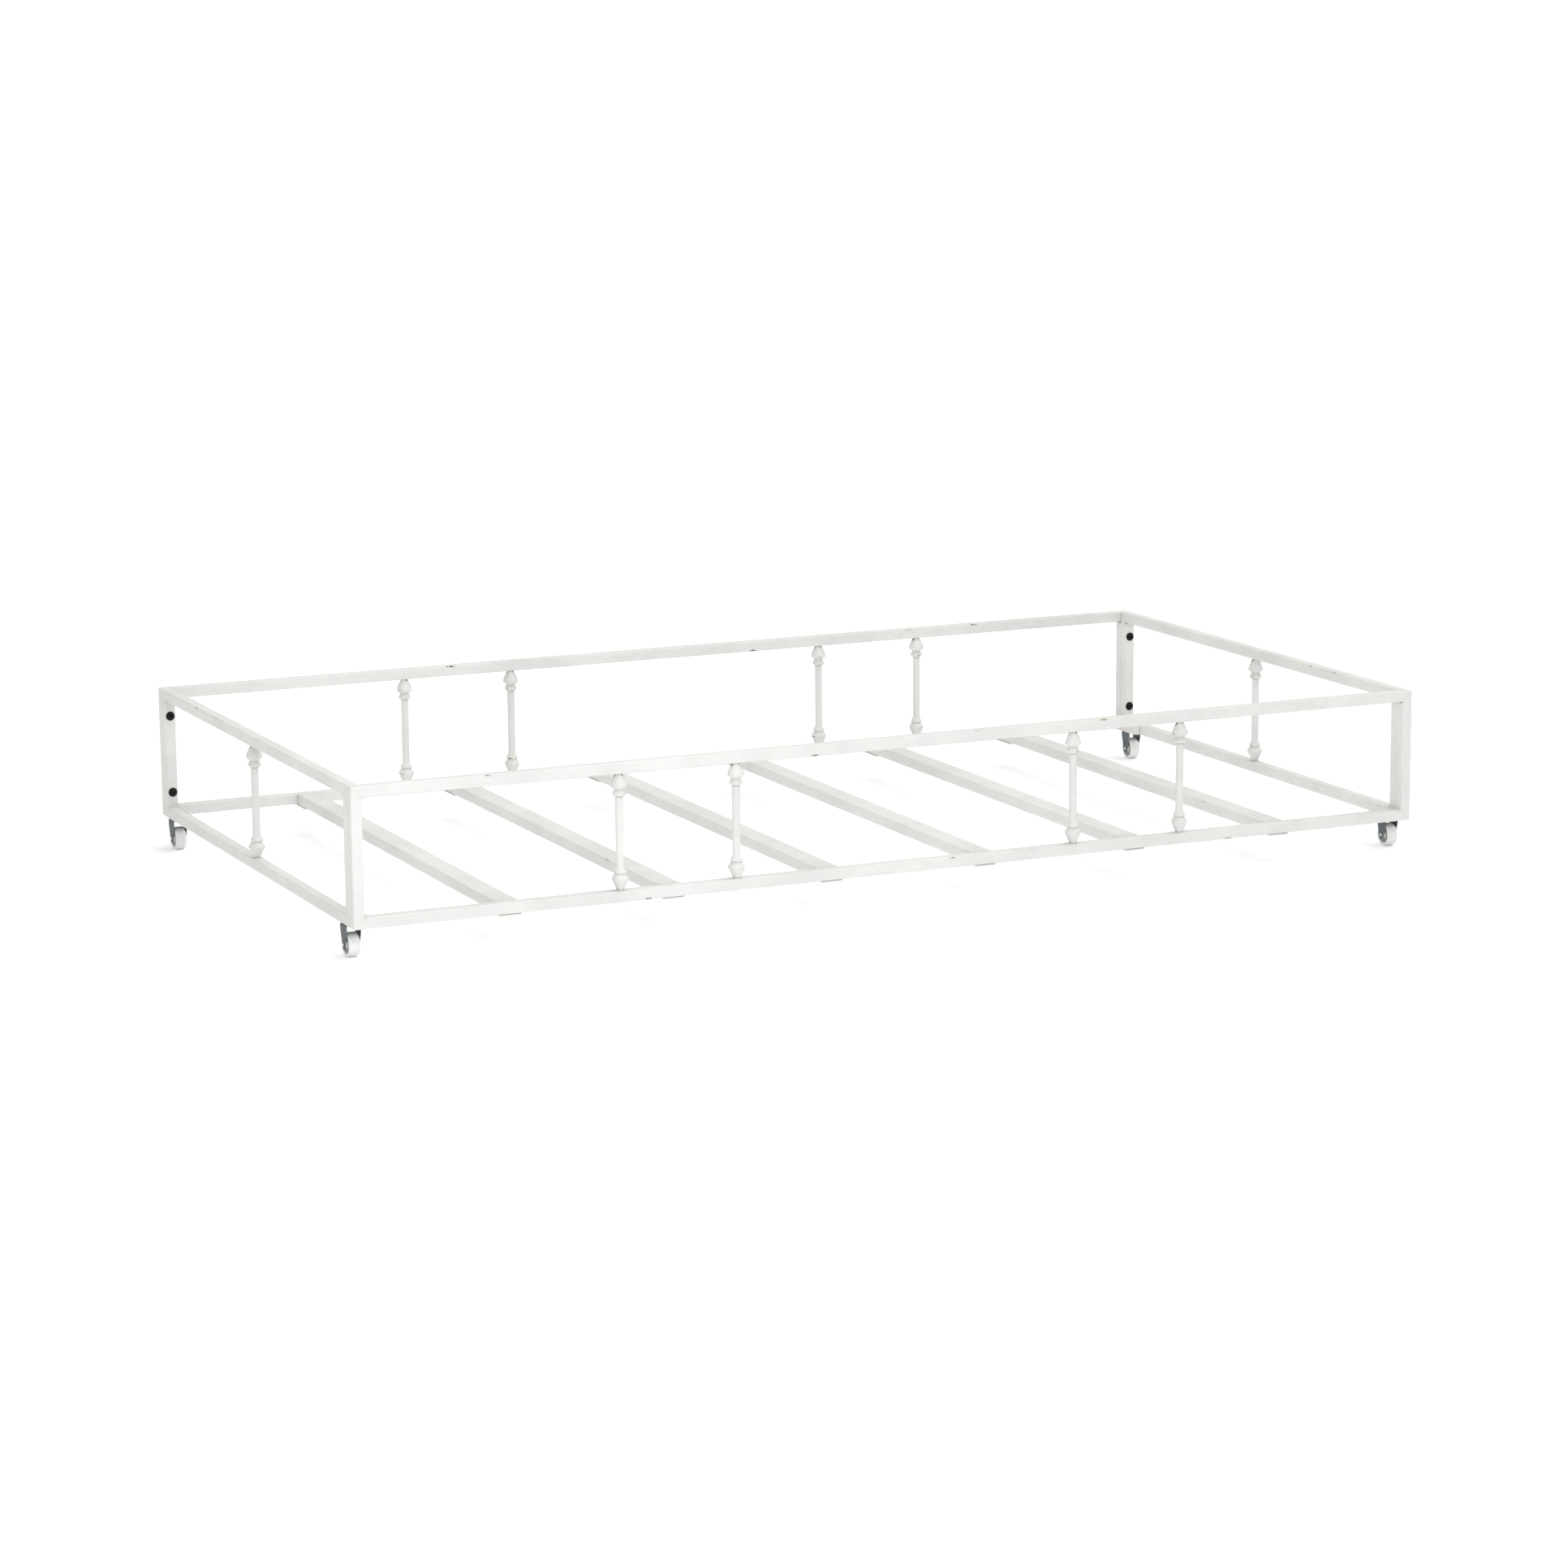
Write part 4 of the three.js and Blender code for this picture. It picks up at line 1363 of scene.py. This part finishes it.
def fork_half_width(drop, base, length):
    """Half the width of a fork's leg at each distance below its base.

    It is the base's half width down to the shoulder, then a straight edge that just touches the
    circle at the leg's end, and then that circle: sqrt(radius^2 - (drop - its centre)^2).
    """
    radius = FORK_END_RADIUS
    centre = length - radius
    rise = centre - FORK_SHOULDER
    a = rise**2 - radius**2
    b = -2 * base * rise
    c = base**2 - radius**2
    slope = (-b - math.sqrt(b * b - 4 * a * c)) / (2 * a)
    touch = centre + radius * slope / math.hypot(1, slope)
    circle = np.sqrt((radius**2 - (drop - centre) ** 2).clip(0))
    straight = base - slope * (drop - FORK_SHOULDER).clip(0)
    return np.where(drop > touch, circle, straight)


def fork_line(leg, length, bend, plate):
    """The middle line of a fork's plate, across and up: one leg, a round bend, the base, and back.

    A leg's points crowd towards its tip as length - radius * (1 - cos t), t from 0 to a quarter turn.
    """
    end = np.linspace(0, math.pi / 2, 14)
    tip = length - FORK_END_RADIUS * (1 - np.cos(end))
    straight = np.linspace(length - FORK_END_RADIUS, bend + plate / 2, 28)[1:]
    drop = np.concatenate([tip, straight])
    turn = np.linspace(0, math.pi / 2, 8)[1:-1]
    side = np.stack([np.full(len(drop), -leg), -drop], axis=1)
    curve = np.stack([-leg + bend * (1 - np.cos(turn)), -plate / 2 - bend * (1 - np.sin(turn))], axis=1)
    across = np.linspace(-leg + bend, leg - bend, 14)
    base = np.stack([across, np.full(14, -plate / 2)], axis=1)
    half = np.concatenate([side, curve])
    return np.concatenate([half, base, half[::-1] * (-1, 1)])


def caster_fork(corner):
    """A fork bent from plate.

    At each step of its middle line the section is a rounded rectangle, as thick as the plate and as
    wide as the fork there, so that its corners follow the fork's outline.
    """
    plate = bpy.context.scene.trundle_fittings.plate
    node = f"{corner}_caster_fork"
    low, high = span(node)
    middle = (low + high) / 2
    leg = (high[0] - low[0]) / 2 - plate / 2
    length = high[2] - low[2]
    line = fork_line(leg, length, FORK_BEND, plate)
    tangent = np.gradient(line, axis=0)
    tangent /= np.linalg.norm(tangent, axis=1, keepdims=True)
    normal = np.stack([-tangent[:, 1], tangent[:, 0]], axis=1)
    width = fork_half_width(-line[:, 1], (high[1] - low[1]) / 2, length)[:, None]

    edge_round = 0.0004
    section = Outline(rectangle(2.0, plate), edge_round)
    across, through = section.points(0.0).T
    from_edge = 1.0 - np.abs(across)
    in_arc = from_edge <= edge_round + 1e-9
    arc = np.sign(across) * (width - np.minimum(from_edge, width))
    flat = across / (1.0 - edge_round) * (width - edge_round).clip(0)
    y = np.where(in_arc, arc, flat)
    points = np.stack(np.broadcast_arrays(
        middle[0] + line[:, :1] + through * normal[:, :1],
        middle[1] + y,
        high[2] + line[:, 1:] + through * normal[:, 1:],
    ), axis=-1)
    steps = np.linalg.norm(np.diff(line, axis=0), axis=1)
    along = np.concatenate([[0], np.cumsum(steps)])[:, None]
    run = np.stack(np.broadcast_arrays(along, y, 0.0), axis=-1)
    # Painted highlight: the bends of the plate are marked as an edge, which lightens them.
    bent = np.exp(-((np.hypot(np.abs(line[:, 0]) - leg, line[:, 1]) / 0.003) ** 2))[:, None]
    edge = np.maximum(section.sharpness(0.0006), 0.9 * bent)
    sheet = Sheet(points, run, edge)
    return make_piece(f"{node}_plate", [sheet], zinc_plate, stands_for=[node])


class TRUNDLEBED_OT_forks(bpy.types.Operator):
    """Make the four caster forks"""

    bl_idname = "trundlebed.forks"
    bl_label = "Caster forks"

    def execute(self, context):
        for corner in CORNERS:
            caster_fork(corner)
        return {"FINISHED"}


def caster_wheel(corner):
    """A moulded wheel: a closed profile turned about X, with ribs raised on both webs.

    A rib lifts the web by 3.4 mm * (half + half cos(ribs * angle))^10, over the middle of the web.
    """
    ribs = bpy.context.scene.trundle_fittings.wheel_ribs
    node = f"{corner}_caster_wheel"
    low, high = span(node)
    middle = (low + high) / 2
    tread = (high[2] - low[2]) / 2
    hub_end = (high[0] - low[0]) / 2
    side = hub_end - 0.001
    rim = tread - 0.0045
    web = 0.003
    hub = 0.0065
    bore = 0.0033
    half = np.array([
        (tread, 0.0), (tread, side - 0.003), (tread - 0.0012, side - 0.0008), (tread - 0.003, side),
        (rim, side), (rim - 0.0006, side - 0.0008), (rim - 0.0012, web + 0.0008), (rim - 0.0022, web),
        (hub + 0.0012, web), (hub + 0.0004, web + 0.0008), (hub, side - 0.001),
        (hub - 0.0002, hub_end - 0.0004), (hub - 0.0007, hub_end), (bore + 0.0004, hub_end),
        (bore, hub_end - 0.0004), (bore, 0.0),
    ])
    loop = np.concatenate([half, (half * (1, -1))[::-1][1:]])
    profile = evened(softened(loop, 0.0009), 0.0011)

    def ribbed(radius, height, angle):
        rib = (0.5 + 0.5 * np.cos(ribs * angle)) ** 10
        over = ((radius - hub) / 0.0012).clip(0, 1) * ((rim - 0.0008 - radius) / 0.0012).clip(0, 1)
        lift = 0.0034 * rib * over * over * (3 - 2 * over)
        on_web = np.abs(height) < web + 0.0035
        raised = np.sign(height) * np.maximum(np.abs(height), web + lift)
        return radius, np.where(on_web & (over > 0) & (np.abs(height) > web * 0.5), raised, height)

    points, run = turned(profile, 96, middle, 0, 0.0, ribbed)
    radius, height = profile.T
    on_tread = np.exp(-(((radius - tread) / 0.0012) ** 2))[:, None]
    # The pockets of the webs carry painted shade.
    in_pocket = ((rim - radius) / 0.002).clip(0, 1) * ((radius - hub) / 0.001).clip(0, 1)
    in_pocket = (in_pocket * ((side - np.abs(height)) / 0.004).clip(0, 1) * 0.85)[:, None]
    sheet = Sheet(points, run, on_tread, in_pocket)
    body = f"{corner}_wheel"
    return make_piece(f"{node}_nylon", [sheet], white_nylon, body, [node])


class TRUNDLEBED_OT_wheels(bpy.types.Operator):
    """Make the four caster wheels, which ride on their own bodies"""

    bl_idname = "trundlebed.wheels"
    bl_label = "Caster wheels"

    def execute(self, context):
        for corner in CORNERS:
            caster_wheel(corner)
        return {"FINISHED"}


def caster_axle(corner):
    """A rivet along X. Outside each side of the fork it has a flange with a smaller dome on it."""
    node = f"{corner}_caster_axle"
    low, high = span(node)
    fork_low, fork_high = span(f"{corner}_caster_fork")
    middle = (low + high) / 2
    head = (high[2] - low[2]) / 2
    outer = (high[0] - low[0]) / 2
    inner = (fork_high[0] - fork_low[0]) / 2
    rise = outer - inner
    dome_radius = 0.6 * head
    dome_foot = inner + 0.45 * rise
    t = np.linspace(0, math.pi / 2, 8)
    dome = np.stack([dome_radius * np.sin(t), dome_foot + (outer - dome_foot) * np.cos(t)], axis=1)
    flange = [
        (head - 0.0005, dome_foot - 0.0001), (head, inner + 0.0002), (head - 0.0002, inner), (SHANK, inner),
    ]
    half = np.concatenate([[(0.0, outer)], dome[1:], flange])
    chain = np.concatenate([half, (half * (1, -1))[::-1]])
    profile = evened(softened(chain, 0.0002), 0.0015)
    points, run = turned(profile, 40, middle, 0)
    # The flange carries painted shade.
    on_flange = (profile[:, :1] > dome_radius + 0.0001).astype(float)
    sheet = Sheet(points, run, 0.4, on_flange)
    return make_piece(f"{node}_rivet", [sheet], rivet_steel, stands_for=[node])


class TRUNDLEBED_OT_axles(bpy.types.Operator):
    """Make the riveted axles of the casters"""

    bl_idname = "trundlebed.axles"
    bl_label = "Caster axles"

    def execute(self, context):
        for corner in CORNERS:
            caster_axle(corner)
        return {"FINISHED"}


def caster_bolt(corner):
    """The bolt that holds a fork: a hexagon head inside it, and a shank that stands up in the rail.

    The head's radius is that of a hexagon at each angle, cut by a cone at its lower corners.
    """
    node = f"{corner}_caster_bolt"
    low, high = span(node)
    middle = (low + high) / 2
    seat = span(f"{corner}_caster_fork")[1][2] - bpy.context.scene.trundle_fittings.plate
    head = (high[0] - low[0]) / 2 * math.cos(math.pi / 6)
    under = low[2] - seat
    tip = high[2] - seat
    chain = [
        (0.0, under), (head * 0.9, under), (head, under + 0.0005), (head, 0.0),
        (SHANK, 0.0), (SHANK, tip - 0.0006), (SHANK - 0.0006, tip), (0.0, tip),
    ]
    profile = evened(softened(chain, 0.0002), 0.0015)

    def hexagon(radius, height, angle):
        wall = polygon_radius(angle, 6, 1.0)
        on_head = (height < 0.00005) & (radius > head * 0.95)
        return np.where(on_head, radius * wall, radius), height

    points, run = turned(profile, 48, (middle[0], middle[1], seat), 2, 0.0, hexagon)
    edge = np.where((profile[:, 1] < 0) & (profile[:, 0] > head * 0.93), 0.7, 0.1)[:, None]
    sheet = Sheet(points, run, edge)
    return make_piece(f"{node}_steel", [sheet], zinc_plate, stands_for=[node])


class TRUNDLEBED_OT_caster_bolts(bpy.types.Operator):
    """Make the bolts that hold the forks to the end rails"""

    bl_idname = "trundlebed.caster_bolts"
    bl_label = "Caster bolts"

    def execute(self, context):
        for corner in CORNERS:
            caster_bolt(corner)
        return {"FINISHED"}


# ---------------------------------------------------------------------------- stage


def floor_sheet(size):
    """A flat square of floor."""
    half = size / 2
    mesh = bpy.data.meshes.new("floor")
    corners = [(-half, -half, 0.0), (half, -half, 0.0), (half, half, 0.0), (-half, half, 0.0)]
    mesh.from_pydata(corners, [], [(0, 1, 2, 3)])
    mesh.materials.append(material(studio_floor))
    floor = bpy.data.objects.new("floor", mesh)
    bpy.context.scene.collection.objects.link(floor)


def studio_light(stage):
    """Even light from all round, a softbox in front, a larger one above, and a wide ceiling light."""
    world = bpy.data.worlds.new("studio")
    world.use_nodes = True
    background = world.node_tree.nodes["Background"]
    background.inputs["Color"].default_value = (1.0, 0.996, 0.975, 1.0)
    background.inputs["Strength"].default_value = stage.surround
    bpy.context.scene.world = world
    softbox("key", stage.key, 1.2, (-1.2, -2.6, 1.4), (-0.5, -0.5, 0.15), (0.89, 0.95, 1.0))
    softbox("top", stage.top, 3.0, (0.3, -0.6, 3.6), (0.0, 0.0, 0.0), (1.0, 0.995, 0.97))
    data = bpy.data.lights.new("ceiling", "SUN")
    data.energy = stage.ceiling
    data.angle = math.radians(60)
    place_lamp(data, (0.4, -0.05, 0.9), (0.0, 0.0, 0.0))


def softbox(name, power, size, place, target, colour):
    """A square area light that faces the target."""
    data = bpy.data.lights.new(name, "AREA")
    data.energy = power
    data.size = size
    data.color = colour
    place_lamp(data, place, target)


def place_lamp(data, place, target):
    """Put a lamp in the scene so that it faces the target."""
    lamp = bpy.data.objects.new(data.name, data)
    direction = Vector(target) - Vector(place)
    turn = direction.to_track_quat("-Z", "Y").to_matrix().to_4x4()
    lamp.matrix_world = Matrix.Translation(place) @ turn
    lamp.visible_camera = False
    bpy.context.scene.collection.objects.link(lamp)


def studio_camera(stage):
    """A long lens in front of the bed, to its left and above it."""
    data = bpy.data.cameras.new("camera")
    data.lens = stage.lens
    data.clip_end = stage.floor_size
    camera = bpy.data.objects.new("camera", data)
    turn = Matrix.Rotation(stage.camera_turn, 4, "Z")
    tilt = Matrix.Rotation(math.pi / 2 - stage.camera_drop, 4, "X")
    roll = Matrix.Rotation(stage.camera_roll, 4, "Z")
    camera.matrix_world = Matrix.Translation(stage.camera_place) @ turn @ tilt @ roll
    bpy.context.scene.collection.objects.link(camera)
    bpy.context.scene.camera = camera


class TRUNDLEBED_OT_stage(bpy.types.Operator):
    """Make the floor, the light and the camera"""

    bl_idname = "trundlebed.stage"
    bl_label = "Stage"

    def execute(self, context):
        stage = context.scene.trundle_stage
        floor_sheet(stage.floor_size)
        studio_light(stage)
        studio_camera(stage)
        context.scene.view_settings.view_transform = "Standard"
        return {"FINISHED"}


# ---------------------------------------------------------------------------- add-on


OPERATORS = (
    TRUNDLEBED_OT_stage,
    TRUNDLEBED_OT_frames,
    TRUNDLEBED_OT_welds,
    TRUNDLEBED_OT_spindles,
    TRUNDLEBED_OT_slats,
    TRUNDLEBED_OT_tabs,
    TRUNDLEBED_OT_screws,
    TRUNDLEBED_OT_bolts,
    TRUNDLEBED_OT_seats,
    TRUNDLEBED_OT_forks,
    TRUNDLEBED_OT_wheels,
    TRUNDLEBED_OT_axles,
    TRUNDLEBED_OT_caster_bolts,
)
SETTINGS = {
    "trundle_tube": TRUNDLEBED_PG_tube,
    "trundle_spindle": TRUNDLEBED_PG_spindle,
    "trundle_fittings": TRUNDLEBED_PG_fittings,
    "trundle_finish": TRUNDLEBED_PG_finish,
    "trundle_stage": TRUNDLEBED_PG_stage,
}


class TRUNDLEBED_PT_panel(bpy.types.Panel):
    """Buttons for the pieces, and the sizes and colours that they use."""

    bl_idname = "TRUNDLEBED_PT_panel"
    bl_label = "Trundle bed"
    bl_space_type = "VIEW_3D"
    bl_region_type = "UI"
    bl_category = "Trundle bed"

    def draw(self, context):
        for operator in OPERATORS:
            self.layout.operator(operator.bl_idname)
        for name, group in SETTINGS.items():
            box = self.layout.box()
            for setting in group.__annotations__:
                box.prop(getattr(context.scene, name), setting)


CLASSES = (*SETTINGS.values(), *OPERATORS, TRUNDLEBED_PT_panel)


def register():
    for cls in CLASSES:
        bpy.utils.register_class(cls)
    for name, group in SETTINGS.items():
        setattr(bpy.types.Scene, name, bpy.props.PointerProperty(type=group))


def unregister():
    for name in SETTINGS:
        delattr(bpy.types.Scene, name)
    for cls in reversed(CLASSES):
        bpy.utils.unregister_class(cls)


def main():
    register()
    for operator in OPERATORS:
        name = operator.bl_idname.split(".")[1]
        getattr(bpy.ops.trundlebed, name)()


if __name__ == "__main__":
    main()
